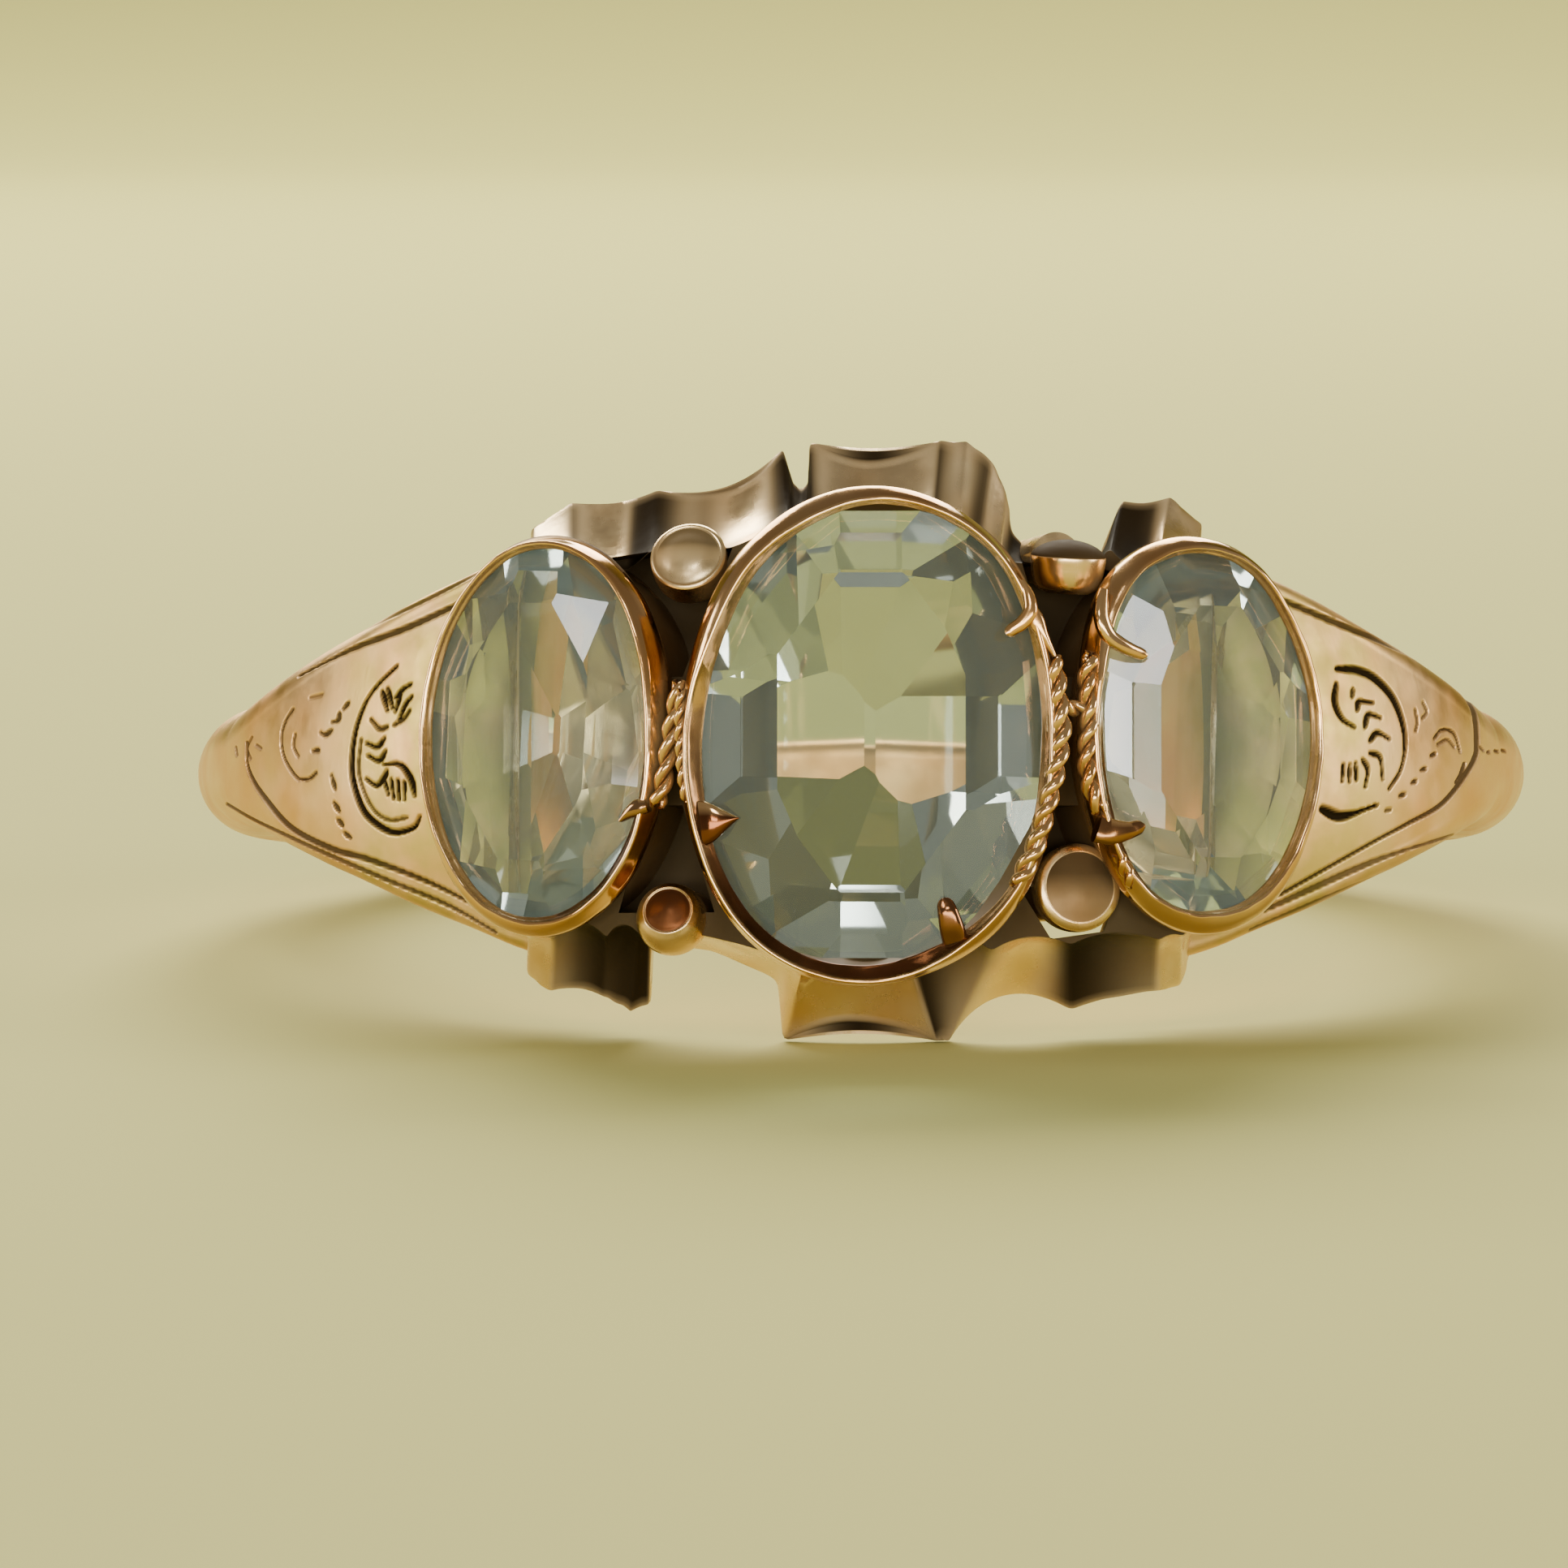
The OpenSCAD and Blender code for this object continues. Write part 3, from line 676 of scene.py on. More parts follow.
gallery_gold = rose_gold("cast_rose_gold", 0.17, 0.2, (0.82, 0.54, 0.25), (0.90, 0.67, 0.36))
skirt_mesh = bmesh.new()
dirt_and_shade = skirt_mesh.verts.layers.float.new("grime")
made = [skirt_mesh.verts.new(tuple(p)) for p in points]
# The top and its pockets are painted near black, as dirt and shade between the collets, and the underside
# is painted half as dark
under_radius = hole_r + gallery_low + 0.02
plate_dirt_and_shade = [0.93 if math.hypot(p[0], p[1]) > under_radius else 0.5 for p in points[len(flute_dirt_and_shade):]]
for vertex, value in zip(made, flute_dirt_and_shade + plate_dirt_and_shade):
    vertex[dirt_and_shade] = value
for face in faces:
    if len(set(face)) > 2:
        skirt_mesh.faces.new([made[i] for i in face])
bmesh.ops.remove_doubles(skirt_mesh, verts=skirt_mesh.verts, dist=0.0005)
stray = [v for v in skirt_mesh.verts if not v.link_faces]
bmesh.ops.delete(skirt_mesh, geom=stray, context="VERTS")
bmesh.ops.recalc_face_normals(skirt_mesh, faces=skirt_mesh.faces)
add_solid("fluted_gallery", skirt_mesh, gallery_gold, "gold_mount", sharp=38)

# Collets: three oval cups of sheet gold, soldered to the band, whose edges are rubbed by hand over
# the stones. The lip's sharp crest wanders, so the edge is broad in one place and thin in the next.
lip_cover = 0.17
lip_h = 0.42
collet_foot = 0.35
collet_taper = 0.25
# Round the lip in degrees: its width, where its crest stands (0 at the stone, 1 outside), crest lift,
# how far its opening stands out from an even oval, and how red its inner slope is painted, as a dark
# reflection
lip_rows = {
    "centre": [
        (0, 0.27, 0.50, 0.0, 0.04, 0.5), (18, 0.24, 0.50, 0.02, 0.08, 0.2),
        (32, 0.18, 0.45, 0.03, 0.15, 0.0), (42, 0.15, 0.50, 0.02, 0.20, 0.0),
        (55, 0.18, 0.40, 0.02, 0.17, 0.0), (68, 0.22, 0.30, 0.0, 0.09, 0.0),
        (90, 0.27, 0.25, -0.02, 0.0, 0.0), (112, 0.34, 0.22, 0.0, -0.07, 0.0),
        (135, 0.36, 0.40, 0.03, -0.04, 0.0), (155, 0.36, 0.40, 0.02, -0.06, 0.0),
        (170, 0.31, 0.70, 0.0, -0.02, 0.3), (195, 0.27, 0.75, 0.0, 0.08, 0.8),
        (215, 0.25, 0.72, 0.0, 0.17, 1.0), (235, 0.25, 0.72, 0.01, 0.19, 1.0),
        (255, 0.28, 0.76, 0.01, 0.08, 1.0), (275, 0.30, 0.80, 0.0, 0.0, 1.0),
        (292, 0.32, 0.72, 0.0, -0.03, 1.0), (308, 0.28, 0.45, 0.02, 0.10, 0.6),
        (322, 0.22, 0.40, 0.02, 0.18, 0.2), (340, 0.25, 0.50, 0.0, 0.08, 0.5)
    ],
    "left": [
        (0, 0.25, 0.35, 0.0, 0.10, 0.3), (14, 0.25, 0.32, 0.01, 0.10, 0.1),
        (28, 0.27, 0.30, 0.03, 0.12, 0.0), (41, 0.24, 0.30, 0.02, 0.13, 0.0),
        (55, 0.20, 0.30, 0.0, 0.12, 0.0), (70, 0.14, 0.4, 0.0, 0.08, 0.0),
        (90, 0.13, 0.5, 0.0, 0.02, 0.0), (130, 0.14, 0.5, -0.02, -0.03, 0.0),
        (180, 0.17, 0.5, 0.0, -0.02, 0.0), (225, 0.22, 0.25, 0.0, -0.02, 0.0),
        (265, 0.27, 0.25, 0.0, 0.02, 0.2), (290, 0.26, 0.55, 0.0, 0.09, 0.9),
        (315, 0.24, 0.65, 0.0, 0.16, 1.0), (332, 0.23, 0.62, 0.0, 0.17, 0.9),
        (347, 0.24, 0.5, 0.0, 0.13, 0.6)
    ],
    "right": [
        (0, 0.20, 0.4, 0.0, -0.03, 0.0), (44, 0.18, 0.35, 0.0, -0.10, 0.0),
        (70, 0.20, 0.3, 0.0, -0.03, 0.0), (90, 0.22, 0.25, -0.02, 0.0, 0.0),
        (110, 0.26, 0.25, 0.0, 0.12, 0.0), (125, 0.27, 0.22, 0.03, 0.24, 0.0),
        (136, 0.28, 0.20, 0.04, 0.27, 0.0), (148, 0.28, 0.22, 0.04, 0.22, 0.0),
        (162, 0.27, 0.40, 0.04, 0.12, 0.1), (180, 0.25, 0.7, 0.0, 0.06, 0.6),
        (205, 0.25, 0.75, 0.0, 0.07, 0.9), (222, 0.25, 0.65, 0.0, 0.12, 1.0),
        (236, 0.25, 0.45, 0.0, 0.14, 0.6), (252, 0.28, 0.30, 0.0, 0.08, 0.1),
        (270, 0.32, 0.25, 0.0, 0.0, 0.0), (300, 0.29, 0.25, 0.0, 0.0, 0.0),
        (330, 0.23, 0.35, 0.0, -0.03, 0.0)
    ],
}
collet_gold = rose_gold("rubbed_rose_gold", 0.10, 0.10)


def eased(profile, per_span, closed_axis=False):
    """Turns a few corner places into one smooth curve through them."""
    p = np.array(profile, float)
    last = [-p[-2][0], p[-2][1]] if closed_axis else 2 * p[-1] - p[-2]
    p = np.vstack([2 * p[0] - p[1], p, last])
    out = []
    for i in range(len(p) - 3):
        a, b, c, d = p[i:i + 4]
        for t in np.linspace(0, 1, per_span, endpoint=False):
            out.append(along_curve(a, b, c, d, t))
    out.append(p[-2])
    return np.array(out)


def round_the_lip(rows, column, theta):
    """One of the lip's values at every angle, eased between the rows."""
    angles = [row[0] for row in rows]
    values = [row[column] for row in rows]
    whole = np.interp(np.degrees(theta) % 360, angles + [angles[0] + 360], values + [values[0]])
    for _ in range(int(len(theta) / 28)):
        whole = 0.5 * whole + 0.25 * (np.roll(whole, 3) + np.roll(whole, -3))
    return whole


def on_stone(row, points):
    """Moves points drawn round a stone's own upright axis into the ring's frame."""
    place = np.array(at_stone(row))
    return np.array(points) @ place[:3, :3].T + place[:3, 3]


def add_collet(name, row, rows, seed):
    """A cup lofted from one section at each angle, with the small unevenness of hand work."""
    steps = 560
    foot = row["height"] - collet_foot
    mouth = row["half_w"] - lip_cover, row["half_l"] - lip_cover
    theta = 2 * math.pi * np.arange(steps) / steps
    width = round_the_lip(rows, 1, theta)
    crest = round_the_lip(rows, 2, theta)
    lift = round_the_lip(rows, 3, theta)
    opening = round_the_lip(rows, 4, theta)
    redness = round_the_lip(rows, 5, theta)
    hand = np.random.default_rng(seed)

    def wander(size, turns):
        """A slow, uneven drift round the lip."""
        return sum(hand.normal(0, size / k ** 0.6) * np.cos(k * theta + hand.uniform(0, 6.28))
                   for k in turns)

    width = width + wander(0.006, (3, 5, 9, 14, 22))
    crest = np.clip(crest + wander(0.05, (4, 7, 13, 19, 31)), 0.12, 0.92)
    lift = lift + wander(0.010, (3, 8, 12, 21, 33))
    edge = wander(0.012, (2, 5, 9, 16, 27, 38))
    columns = []
    for k in range(steps):
        o, c, top = width[k], crest[k] * width[k], lip_h + lift[k]
        e = edge[k]
        outside = [
            (o - collet_taper, -foot), (o - 0.16, -foot * 0.6), (o - 0.05, -0.3), (o, 0.0),
            (o + 0.005, 0.14), (o - 0.012, 0.22), (c + 0.55 * (o - c), top - 0.07),
            (c + 0.03, top - 0.008), (c - 0.01, top), (max(c - 0.045, 0.035), top - 0.03),
            (0.3 * c + e + 0.01, top - 0.10), (e, 0.27), (e - 0.005, 0.225),
        ]
        inside = [
            (e + 0.02, 0.19), (0.12, 0.14), (0.20, 0.08), (0.20, -0.08), (-0.02, -0.52),
            (-0.40, -row["depth"]), (-0.5, -row["depth"] - 0.3), (-0.5, -foot),
        ]
        columns.append(np.vstack([eased(outside, 4), inside]))
    columns = np.array(columns)
    reach, h = columns[:, :, 0], columns[:, :, 1]
    # The inner slope is painted red as its rows give, a dark reflection that lies mostly on the lower
    # side
    inner_slope = np.clip(((crest * width)[:, None] - 0.01 - reach) / 0.03, 0, 1) * (h > 0.2)
    # Toward the top, the outside of the lip is painted brown between its crest and its bright outer edge,
    # as a dark reflection
    outer_slope = np.clip((reach - (crest * width)[:, None] - 0.02) / 0.03, 0, 1) * (h > 0.1)
    outer_slope *= np.clip((width[:, None] - 0.015 - reach) / 0.02, 0, 1)
    top_shade = 0.5 * np.clip(np.sin(theta), 0, 1)[:, None] * outer_slope
    tarnish = np.maximum(redness[:, None] * inner_slope, top_shade)
    out_by = opening[:, None] * np.clip((h + 0.5) / 0.5, 0, 1)
    reach = reach + out_by
    normal = np.stack([np.cos(theta) / mouth[0], np.sin(theta) / mouth[1]], 1)
    normal /= np.linalg.norm(normal, axis=1)[:, None]
    x = mouth[0] * np.cos(theta)[:, None] + reach * normal[:, :1]
    y = mouth[1] * np.sin(theta)[:, None] + reach * normal[:, 1:]
    points = on_stone(row, np.stack([x.ravel(), y.ravel(), h.ravel()], 1))
    rows_n = columns.shape[1]
    faces = []
    for i in range(steps):
        for j in range(rows_n):
            a, b = i * rows_n + j, ((i + 1) % steps) * rows_n + j
            up = 1 if j < rows_n - 1 else 1 - rows_n
            faces.append((a, b, b + up, a + up))
    # The seat under the stone is painted near black as shade, and the outside darker toward its foot
    seat_rows = np.arange(rows_n) >= rows_n - 6
    grime = np.where(seat_rows[None, :], 0.9, np.clip((0.02 - h) / 0.6, 0, 0.8) * (reach > 0.02))
    marks = {"grime": grime.ravel(), "tarnish": tarnish.ravel()}
    add_piece(f"collet_{name}", points, faces, collet_gold, "gold_mount", marks)


for seed, (name, row) in enumerate(stone_rows.items()):
    add_collet(name, row, lip_rows[name], seed + 5)

# Claws: small spurs that are pushed out of the lips with a graver and lie on the stones.
# Each is drawn by how red it is and its places on the stone's face, with its half width and height.
claw_rows = {
    "centre_lower_left": ("centre", 1.0, [(-2.36, -1.24, 0.33, 0.39), (-2.20, -1.22, 0.27, 0.44),
        (-2.00, -1.19, 0.13, 0.45), (-1.84, -1.17, 0.02, 0.42)]),
    "centre_upper_right": ("centre", 0.0, [(2.08, 2.12, 0.04, 0.42), (2.17, 1.92, 0.08, 0.49),
        (2.20, 1.70, 0.10, 0.53), (2.09, 1.53, 0.10, 0.53), (1.93, 1.42, 0.09, 0.51)]),
    "centre_right_root": ("centre", 0.0, [(2.17, 1.82, 0.06, 0.46), (2.27, 1.58, 0.12, 0.46),
        (2.38, 1.35, 0.08, 0.44), (2.53, 1.09, 0.03, 0.38)]),
    "centre_lower_right": ("centre", 0.9, [(1.17, -2.88, 0.18, 0.38), (1.11, -2.68, 0.17, 0.45),
        (1.06, -2.48, 0.145, 0.48), (1.03, -2.39, 0.13, 0.47)]),
    "left_lower_right": ("left", 0.7, [(1.86, -0.96, 0.10, 0.43), (1.72, -1.0, 0.12, 0.45),
        (1.58, -1.08, 0.08, 0.44), (1.47, -1.18, 0.03, 0.41)]),
    "right_upper_left": ("right", 0.0, [(-1.72, 1.95, 0.06, 0.42), (-1.78, 1.75, 0.10, 0.48),
        (-1.80, 1.52, 0.11, 0.53), (-1.70, 1.30, 0.11, 0.54), (-1.46, 1.15, 0.10, 0.54),
        (-1.20, 1.06, 0.085, 0.51)]),
    "right_lower_left": ("right", 0.8, [(-1.82, -1.36, 0.22, 0.39), (-1.62, -1.42, 0.19, 0.45),
        (-1.38, -1.40, 0.13, 0.47), (-1.24, -1.36, 0.11, 0.46)]),
}
claw_thick = 0.11
for name, (stone, red, rows) in claw_rows.items():
    line = eased(rows, 8)
    way = np.gradient(line[:, :2], axis=0)
    way /= np.linalg.norm(way, axis=1)[:, None]
    # A round end closes each spur
    tip = []
    for t in np.linspace(0, math.pi / 2, 6)[1:-1]:
        end = line[-1, :2] + way[-1] * line[-1, 2] * math.sin(t)
        tip.append([*end, line[-1, 2] * math.cos(t), line[-1, 3]])
    line = np.vstack([line, tip])
    way = np.vstack([way, [way[-1]] * len(tip)])
    # Its upper edge is left without the red
    points, redness = [], []
    sides = 14
    for (x, y, half, top), (wx, wy) in zip(line, way):
        thick = claw_thick * min(1.0, 0.35 + half / 0.1)
        for k in range(sides):
            t = 2 * math.pi * k / sides
            out = half * math.copysign(abs(math.cos(t)) ** 0.8, math.cos(t))
            sink = 0.6 if math.sin(t) > 0 else 0.9
            points.append((x - wy * out, y + wx * out, top - thick * (1 - math.sin(t)) * sink))
            redness.append(red if wx * math.cos(t) < 0.6 else 0.0)
    points = on_stone(stone_rows[stone], points)
    faces = tube_faces(len(line), sides)
    add_piece(f"claw_{name}", points, faces, collet_gold, "gold_mount", {"tarnish": redness})

# Ropes: where two collets face each other, two thin gold wires are twisted together and soldered
# along the edge. Each rope is drawn by its places on a stone's face, its height and its twist.
# Each row: stone, height above its widest line, half a strand's thickness, length of one bead, places
rope_rows = {
    "centre_right": ("centre", 0.32, 0.084, 0.33, [(2.52, 1.06), (2.57, 0.68), (2.60, 0.35),
        (2.63, 0.08), (2.60, -0.22), (2.53, -0.60), (2.42, -1.02), (2.32, -1.40), (2.20, -1.72),
        (2.0, -2.12)]),
    "right_left": ("right", 0.32, 0.078, 0.31, [(-1.90, 1.06), (-1.96, 0.84), (-1.98, 0.58),
        (-1.94, 0.30), (-1.94, 0.05), (-1.97, -0.20), (-1.98, -0.49), (-1.90, -0.90), (-1.74, -1.16)]),
    "right_low": ("right", 0.30, 0.066, 0.22, [(-1.50, -1.72), (-1.36, -1.95), (-1.24, -2.17)]),
    "joining": ("right", 0.26, 0.066, 0.24, [(-2.38, 0.36), (-2.15, 0.29), (-1.92, 0.29)]),
    "left_gap": ("left", 0.30, 0.078, 0.36, [(2.22, 0.78), (2.20, 0.50), (2.14, 0.07), (2.10, -0.30),
        (2.05, -0.68), (1.97, -0.98)]),
    "centre_left": ("centre", 0.27, 0.046, 0.21, [(-2.62, 0.62), (-2.64, 0.2), (-2.63, -0.2),
        (-2.60, -0.6), (-2.54, -0.95)]),
}
for name, (stone, height, half, bead, places) in rope_rows.items():
    line = eased(places, 40)
    run = np.concatenate([[0], np.cumsum(np.hypot(*np.diff(line, axis=0).T))])
    even = np.linspace(0, run[-1], int(run[-1] / bead * 16))
    line = np.stack([np.interp(even, run, line[:, 0]), np.interp(even, run, line[:, 1])], 1)
    way = np.gradient(line, axis=0)
    way /= np.linalg.norm(way, axis=1)[:, None]
    side = np.stack([-way[:, 1], way[:, 0], np.zeros(len(way))], 1)
    axis_line = np.column_stack([line, np.full(len(line), height)])
    thin = np.clip(np.minimum(even, run[-1] - even) / 0.08, 0.35, 1) ** 0.5
    points, faces, redness = [], [], []
    sides = 12
    for strand in (0, 1):
        turn = math.pi * (even / bead + strand)
        around = np.cos(turn)[:, None] * side + np.sin(turn)[:, None] * (0, 0, 1)
        middle = axis_line + 0.8 * half * around
        ahead = np.gradient(middle, axis=0)
        ahead /= np.linalg.norm(ahead, axis=1)[:, None]
        one = np.cross(ahead, (0, 0, 1))
        one /= np.linalg.norm(one, axis=1)[:, None]
        two = np.cross(one, ahead)
        base = len(points)
        for i in range(len(even)):
            for k in range(sides):
                t = 2 * math.pi * k / sides
                place = middle[i] + half * thin[i] * (math.cos(t) * one[i] + math.sin(t) * two[i])
                from_axis = np.linalg.norm(place - axis_line[i])
                points.append(place)
                redness.append(np.clip((1.3 * half - from_axis) / (0.5 * half), 0, 1))
        faces += tube_faces(len(even), sides, base)
    points = on_stone(stone_rows[stone], points)
    add_piece(f"rope_{name}", points, faces, collet_gold, "gold_mount", {"tarnish": redness})

# Studs: four solid gold heads on short posts that stand on the band between the collets.
# They are filed by hand, so each has its own form: a button, a post, a lens and a ball.
stud_post = 0.7
# Each row: place across and along the finger, radius, lean across and up, the head's outline as shares
# of the radius (out, up) from its underside, the share of its face that is painted dark, how red the face
# and the wall are, and how dark the face is painted above and below, as dirt and a dark reflection
stud_rows = {
    "upper_left": dict(
        across=-2.53, along=2.60, radius=0.54, lean=(0.06, 0.46),
        head=[(0.82, -1.0), (0.96, -0.86), (1.0, -0.6), (1.0, -0.16), (0.97, -0.07),
              (0.90, -0.03), (0.84, -0.055), (0.7, -0.02), (0.4, 0.09), (0, 0.13)],
        face=0.84, face_red=0.0, wall_red=0.4, above=0.85, below=0.0),
    "lower_left": dict(
        across=-2.78, along=-2.42, radius=0.50, lean=(0.08, 0.36),
        head=[(0.7, -1.0), (0.92, -0.85), (1.0, -0.55), (0.99, -0.25), (0.89, 0.08),
              (0.76, 0.24), (0.69, 0.29), (0.63, 0.26), (0.45, 0.34), (0, 0.44)],
        face=0.64, face_red=1.0, wall_red=0.0, above=0.35, below=0.3),
    "upper_right": dict(
        across=2.80, along=2.60, radius=0.53, lean=(0.1, 1.42),
        head=[(0.6, -1.0), (0.82, -0.86), (0.93, -0.6), (0.98, -0.3), (1.0, -0.05),
              (0.93, 0.08), (0.72, 0.24), (0.4, 0.36), (0, 0.41)],
        face=1.0, face_red=0.5, wall_red=0.0, above=0.93, below=0.93),
    "lower_right": dict(
        across=2.94, along=-2.05, radius=0.62, lean=(0.0, 0.05),
        head=[(0.55, -1.0), (0.84, -0.8), (0.97, -0.5), (1.0, -0.2), (0.99, -0.05),
              (0.94, 0.03), (0.84, 0.075), (0.76, 0.085), (0.45, 0.14), (0, 0.18)],
        face=0.80, face_red=0.5, wall_red=0.0, above=0.85, below=0.5),
}
stud_h = 2.25
stud_foot = 0.3
stud_gold = rose_gold("polished_rose_gold", 0.20, 0.16, (0.83, 0.53, 0.23), (0.90, 0.66, 0.33), 0.25)
for name, stud in stud_rows.items():
    sides = 80
    radius = stud["radius"]
    curve = eased(stud["head"], 6, True) * radius
    curve[:, 0] = np.clip(curve[:, 0], 0, None)
    post_r = stud_post * radius
    angle = math.asin(stud["across"] / (hole_r + stud_h))
    stand = (Matrix.Rotation(angle, 4, "Z") @ Matrix.Rotation(math.pi / 2, 4, "X")
             @ Matrix.Translation((0, stud["along"], hole_r + stud_h)))
    lean_across, lean_up = stud["lean"]
    tip = stand @ Matrix.Rotation(lean_across, 4, "Y") @ Matrix.Rotation(-lean_up, 4, "X")
    rings = [(stand, post_r, stud_foot - stud_h), (stand, post_r, curve[0][1] - 0.05)]
    rings += [(tip, r, h) for r, h in curve[:-1]]
    points, redness, dirt_and_shade = [], [], []
    for place, r, h in rings:
        on_face = place is tip and h > -0.1 * radius
        dark_face = on_face and r < stud["face"] * radius
        for k in range(sides):
            t = 2 * math.pi * k / sides
            points.append(place @ Vector((r * math.cos(t), r * math.sin(t), h)))
            # The face goes from its darkness below to its darkness above, painted as dirt and a dark
            # reflection
            upper = min(1.0, max(0.0, 0.5 + 1.6 * math.sin(t) * r / radius))
            bright_edge = 0.0 if on_face else stud["wall_red"]
            redness.append(stud["face_red"] if dark_face else bright_edge)
            dirt_and_shade.append(stud["below"] + (stud["above"] - stud["below"]) * upper if dark_face else 0.0)
    faces = tube_faces(len(rings), sides, closed_ends=False)
    points.append(tip @ Vector((0, 0, curve[-1][1])))
    last = (len(rings) - 1) * sides
    faces += [(last + k, last + (k + 1) % sides, len(points) - 1) for k in range(sides)]
    faces.append(tuple(range(sides - 1, -1, -1)))
    redness.append(stud["face_red"])
    dirt_and_shade.append(0.5 * (stud["above"] + stud["below"]))
    marks = {"tarnish": redness, "grime": dirt_and_shade}
    add_piece(f"stud_{name}", points, faces, stud_gold, "gold_mount", marks)

# Stones: three oval aquamarines of a very pale green-blue, cut facet by facet on a flat wheel.
# Each has a broad table, a low crown, and a stepped underside that ends in a keel.
# Depth of colour: the centre stone is the thickest, and is made darker and greyer, partly as painted
# shade
stone_colours = {"centre": (0.50, 0.57, 0.49), "left": (0.67, 0.79, 0.71), "right": (0.70, 0.82, 0.74)}
table_across, table_along = 0.52, 0.66
step_across, step_along = 0.72, 0.83
# The ovals aren't quite even: two of them stand out a little toward opposite corners
oval_lean = {"centre": 0.05, "left": 0.0, "right": -0.05}
# How each underside is cut: turn of its facets in degrees, where its step stands across and down, the
# keel's half length as a share of the stone's, and how much is ground flat off its tip
underside_rows = {
    "centre": dict(turned_by=0, step_share=0.62, step_depth=0.45, keel_share=0.33, tip=0.05),
    "left": dict(turned_by=9, step_share=0.62, step_depth=0.50, keel_share=0.08, tip=0.03),
    "right": dict(turned_by=-6, step_share=0.62, step_depth=0.50, keel_share=0.33, tip=0.34),
}
crown_facets = 8
rim_facets = 12
girdle_half = 0.05
# A hair inside the oval, so that the two rows of facets leave a thin girdle between them
underside_start = 0.985


def aquamarine(name, colour):
    """Clear stone that also lets soft light through to the metal beneath it."""
    material = bpy.data.materials.new(name)
    material.use_nodes = True
    nodes = material.node_tree.nodes
    link = material.node_tree.links.new
    gem = nodes["Principled BSDF"]
    gem.inputs["Base Color"].default_value = (*colour, 1)
    gem.inputs["Roughness"].default_value = 0.035
    gem.inputs["IOR"].default_value = 1.577
    gem.inputs["Transmission Weight"].default_value = 0.95
    clear = nodes.new("ShaderNodeBsdfTransparent")
    clear.inputs["Color"].default_value = (0.90, 0.96, 0.94, 1)
    way = nodes.new("ShaderNodeLightPath")
    either = nodes.new("ShaderNodeMixShader")
    link(way.outputs["Is Shadow Ray"], either.inputs["Fac"])
    link(gem.outputs["BSDF"], either.inputs[1])
    link(clear.outputs["BSDF"], either.inputs[2])
    link(either.outputs["Shader"], nodes["Material Output"].inputs["Surface"])
    return material


def cut_stone(row, lean, turned_by, step_share, step_depth, keel_share, tip):
    """A rough oval, sliced flat by one plane for each facet."""
    w, l, crown, depth = row["half_w"], row["half_l"], row["crown"], row["depth"]
    rough = bmesh.new()
    rings = []
    sides = 64
    for height in (-depth - 0.2, crown + 0.2):
        ring = []
        for t in np.linspace(0, 2 * math.pi, sides, endpoint=False) + math.pi / sides:
            swell = 1 + lean * math.sin(2 * t)
            ring.append(rough.verts.new((w * math.cos(t) * swell, l * math.sin(t) * swell, height)))
        rings.append(ring)
    for k in range(sides):
        rough.faces.new((rings[0][k], rings[0][(k + 1) % sides], rings[1][(k + 1) % sides], rings[1][k]))
    rough.faces.new(rings[0][::-1])
    rough.faces.new(rings[1])

    def slice_off(place, normal):
        """Grinds the stone flat along one plane."""
        geometry = list(rough.verts) + list(rough.edges) + list(rough.faces)
        cut = bmesh.ops.bisect_plane(rough, geom=geometry, dist=1e-6, plane_co=place, plane_no=normal,
                                     clear_outer=True)
        edges = [e for e in cut["geom_cut"] if isinstance(e, bmesh.types.BMEdge)]
        if len(edges) > 2:
            bmesh.ops.edgeloop_fill(rough, edges=edges)

    def facet(turn, outer, outer_h, inner, inner_h):
        """A plane that touches the oval of one share at one height and another at another."""
        t = math.radians(turn)
        steep = Vector((math.cos(t) / w, math.sin(t) / l, 0))
        far = outer / steep.length * (1 + lean * math.sin(2 * t))
        out = steep.normalized()
        near = inner / steep.length if isinstance(inner, float) else max(0.0, out.dot(inner))
        across_it = far - near
        rise = inner_h - outer_h
        normal = out * abs(rise) + Vector((0, 0, math.copysign(across_it, rise)))
        slice_off(out * far + Vector((0, 0, outer_h)), normal.normalized())

    slice_off(Vector((0, 0, crown)), Vector((0, 0, 1)))
    slice_off(Vector((0, 0, tip - depth)), Vector((0, 0, -1)))
    step_h = girdle_half + 0.62 * (crown - girdle_half)
    for k in range(crown_facets):
        turn = 360 / crown_facets * k
        t = math.radians(turn)
        step = math.hypot(step_across * math.cos(t), step_along * math.sin(t))
        table = math.hypot(table_across * math.cos(t), table_along * math.sin(t))
        facet(turn, step, step_h, table, crown)
    for k in range(rim_facets):
        turn = 360 / rim_facets * k
        t = math.radians(turn)
        step = math.hypot(step_across * math.cos(t), step_along * math.sin(t))
        facet(turn, 1.0, girdle_half, step, step_h)
    for k in range(rim_facets):
        turn = 360 / rim_facets * k + turned_by
        facet(turn, underside_start, -girdle_half, step_share, -step_depth * depth)
    for end in (-1, 1):
        keel_end = Vector((0, end * keel_share * l, 0))
        for spread in (0, 42, 90, 138, 180):
            turn = end * spread + turned_by * (spread not in (0, 180))
            facet(turn, step_share, -step_depth * depth, keel_end, -depth)
    bmesh.ops.recalc_face_normals(rough, faces=rough.faces)
    return rough


for name, row in stone_rows.items():
    stone = cut_stone(row, oval_lean[name], **underside_rows[name])
    stone.transform(at_stone(row))
    stone_glass = aquamarine(f"pale_aquamarine_{name}", stone_colours[name])
    add_solid(f"aquamarine_{name}", stone, stone_glass, f"stone_{name}", sharp=1)

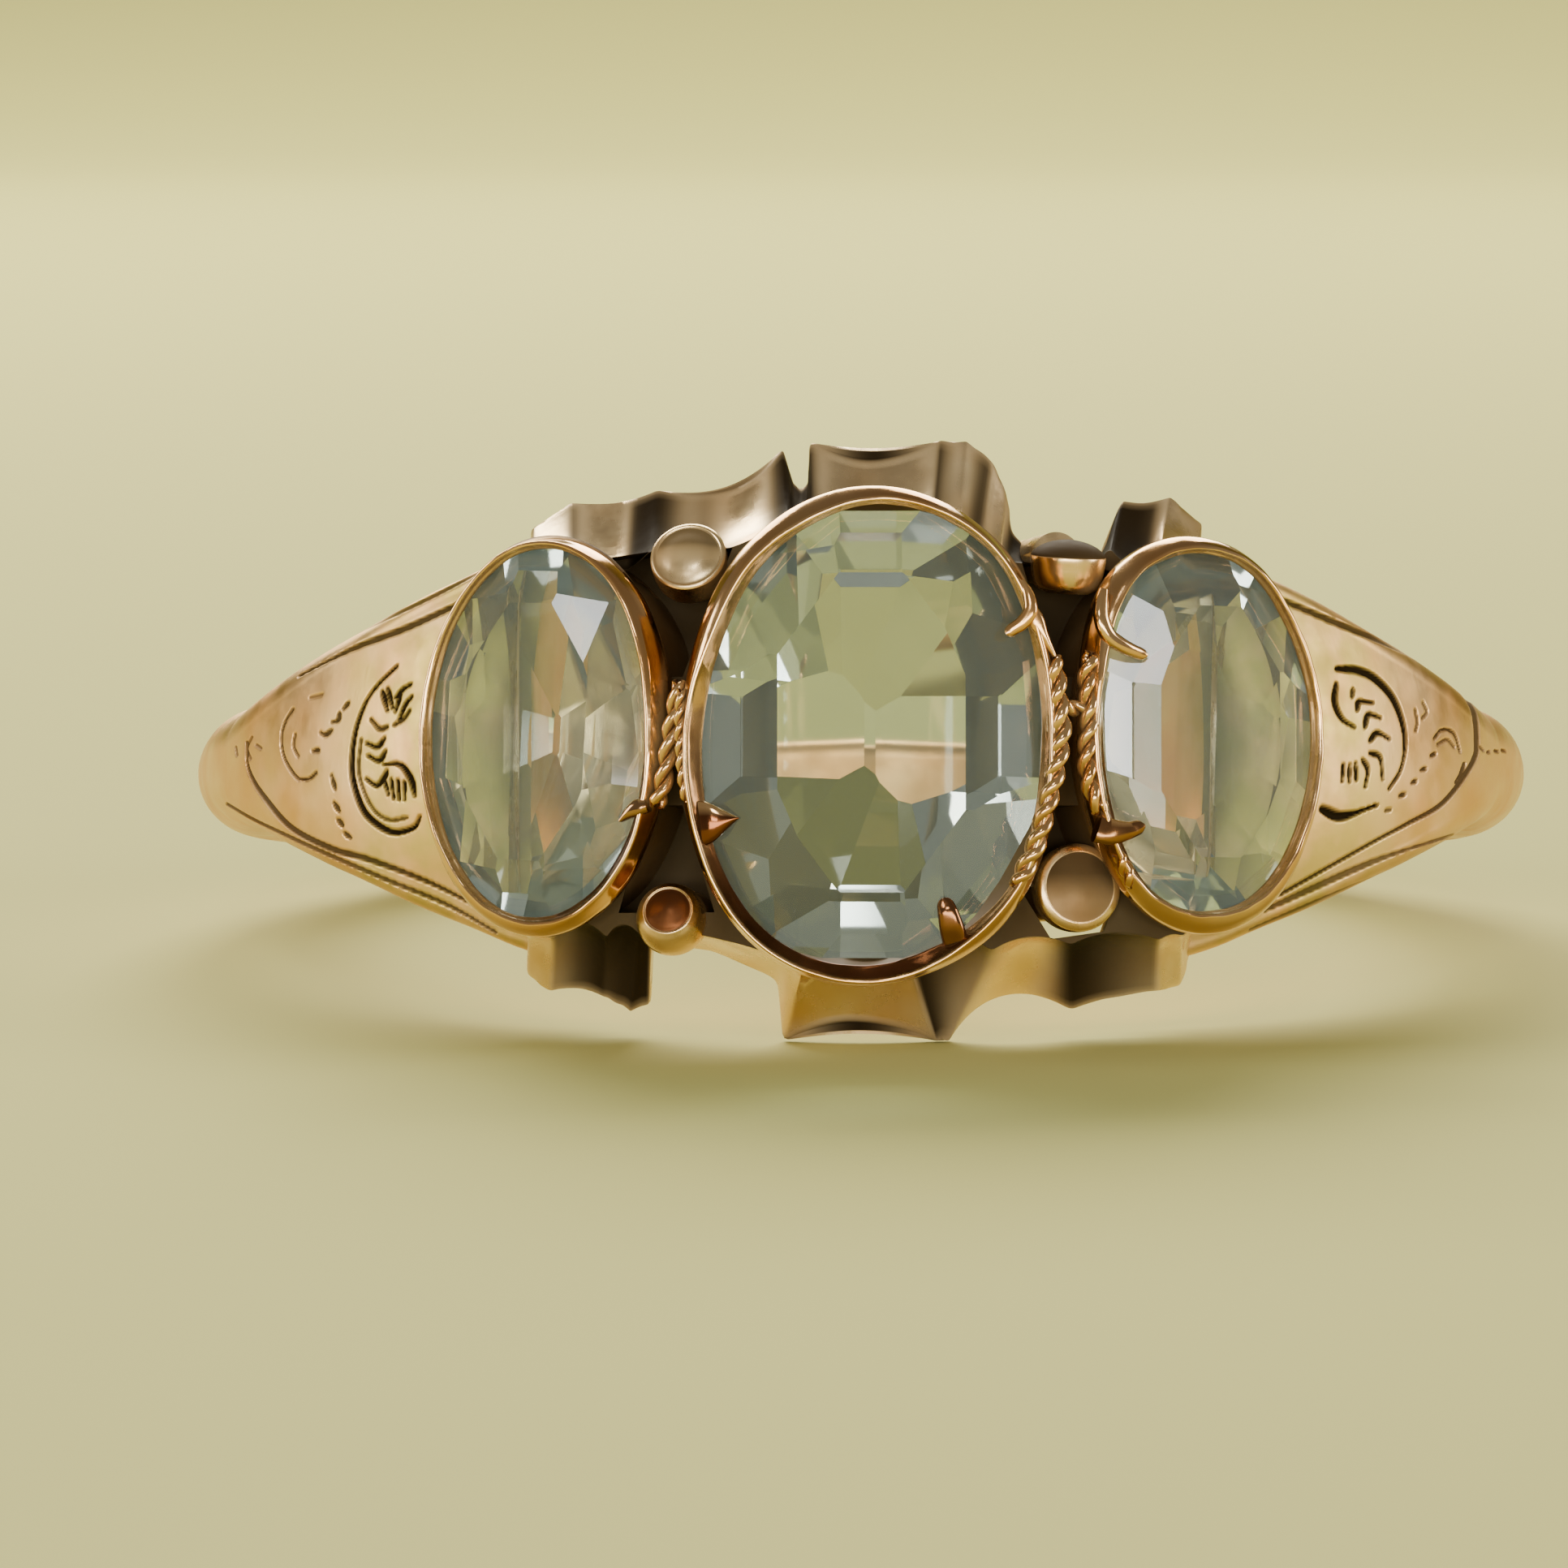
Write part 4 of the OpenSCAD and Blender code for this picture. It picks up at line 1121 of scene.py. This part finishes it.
# Floor and backdrop: one sweep of pale card that the ring lies on, curved up behind it.
# It is lit by large soft lamps from behind and from the sides, and by two small ones in front.
floor_paint = bpy.data.materials.new("pale_card")
floor_paint.use_nodes = True
card = floor_paint.node_tree.nodes["Principled BSDF"]
card.inputs["Base Color"].default_value = (0.50, 0.47, 0.13, 1)
card.inputs["Roughness"].default_value = 0.9
sweep = bmesh.new()
half_wide = 0.8
line = [(-0.6, 0.0), (0.30, 0.0)]
for k in range(1, 25):
    t = math.radians(90 * k / 24)
    line.append((0.30 + 0.25 * math.sin(t), 0.25 - 0.25 * math.cos(t)))
line.append((0.55, 0.9))
left_side = [sweep.verts.new((-half_wide, y, z)) for y, z in line]
right_side = [sweep.verts.new((half_wide, y, z)) for y, z in line]
for k in range(len(line) - 1):
    sweep.faces.new((left_side[k], right_side[k], right_side[k + 1], left_side[k + 1]))
floor_mesh = bpy.data.meshes.new("floor")
sweep.to_mesh(floor_mesh)
floor_mesh.shade_smooth()
floor_mesh.materials.append(floor_paint)
floor = bpy.data.objects.new("floor", floor_mesh)
bpy.context.scene.collection.objects.link(floor)


def add_lamp(name, place, size, power, colour):
    """A soft square-edged lamp that is turned toward the ring."""
    lamp = bpy.data.lights.new(name, "AREA")
    lamp.shape = "RECTANGLE"
    lamp.size, lamp.size_y = size
    lamp.energy = power
    lamp.color = colour
    holder = bpy.data.objects.new(name, lamp)
    holder.location = place
    holder.rotation_euler = (Vector((0, 0, 0.004)) - Vector(place)).to_track_quat("-Z", "Y").to_euler()
    bpy.context.scene.collection.objects.link(holder)


add_lamp("lamp_behind", (-0.05, 0.27, 0.23), (0.36, 0.20), 3.1, (1.0, 0.97, 0.86))
add_lamp("lamp_front", (0.02, -0.34, 0.034), (0.40, 0.048), 0.75, (1.0, 0.97, 0.92))
add_lamp("lamp_low", (-0.064, -0.33, 0.082), (0.07, 0.02), 0.10, (0.97, 0.99, 1.0))
add_lamp("lamp_high", (-0.02, -0.28, 0.21), (0.05, 0.06), 0.14, (0.97, 0.99, 1.0))
add_lamp("lamp_left", (-0.30, -0.06, 0.07), (0.12, 0.16), 0.58, (1.0, 0.98, 0.94))
add_lamp("lamp_right", (0.30, -0.05, 0.06), (0.12, 0.16), 0.58, (1.0, 0.98, 0.94))
sky = bpy.data.worlds.new("studio")
sky.use_nodes = True
sky.node_tree.nodes["Background"].inputs["Color"].default_value = (0.29, 0.28, 0.26, 1)
sky.node_tree.nodes["Background"].inputs["Strength"].default_value = 0.85
bpy.context.scene.world = sky

# Camera: level with the head and a little below the middle of the shank, as a ring is shown to a
# buyer. Its place is given in the ring's own frame, so it follows the way that the ring lies.
camera_away = 110.0
camera_below = math.radians(2.7)
camera_aside = 1.18
camera_drop = 0.064
focal_px = 8746
image_px = 1932
# The ring's level line stands this far below the picture's middle
centre_px_low = 3
forward = Vector((0, math.cos(camera_below), math.sin(camera_below)))
upward = Vector((0, -math.sin(camera_below), math.cos(camera_below)))
seat = -camera_aside * across - camera_away * forward - camera_drop * upward
turned = ring_place.to_3x3().normalized()
camera_data = bpy.data.cameras.new("camera")
camera_data.sensor_width = 36
camera_data.lens = focal_px / image_px * 36
camera_data.shift_y = -centre_px_low / image_px
camera_data.clip_start = 0.001
camera_data.clip_end = 10
camera = bpy.data.objects.new("camera", camera_data)
look = Matrix((turned @ across, turned @ upward, -(turned @ forward))).transposed().to_4x4()
look.translation = ring_place @ seat
camera.matrix_world = look
bpy.context.scene.collection.objects.link(camera)
bpy.context.scene.camera = camera
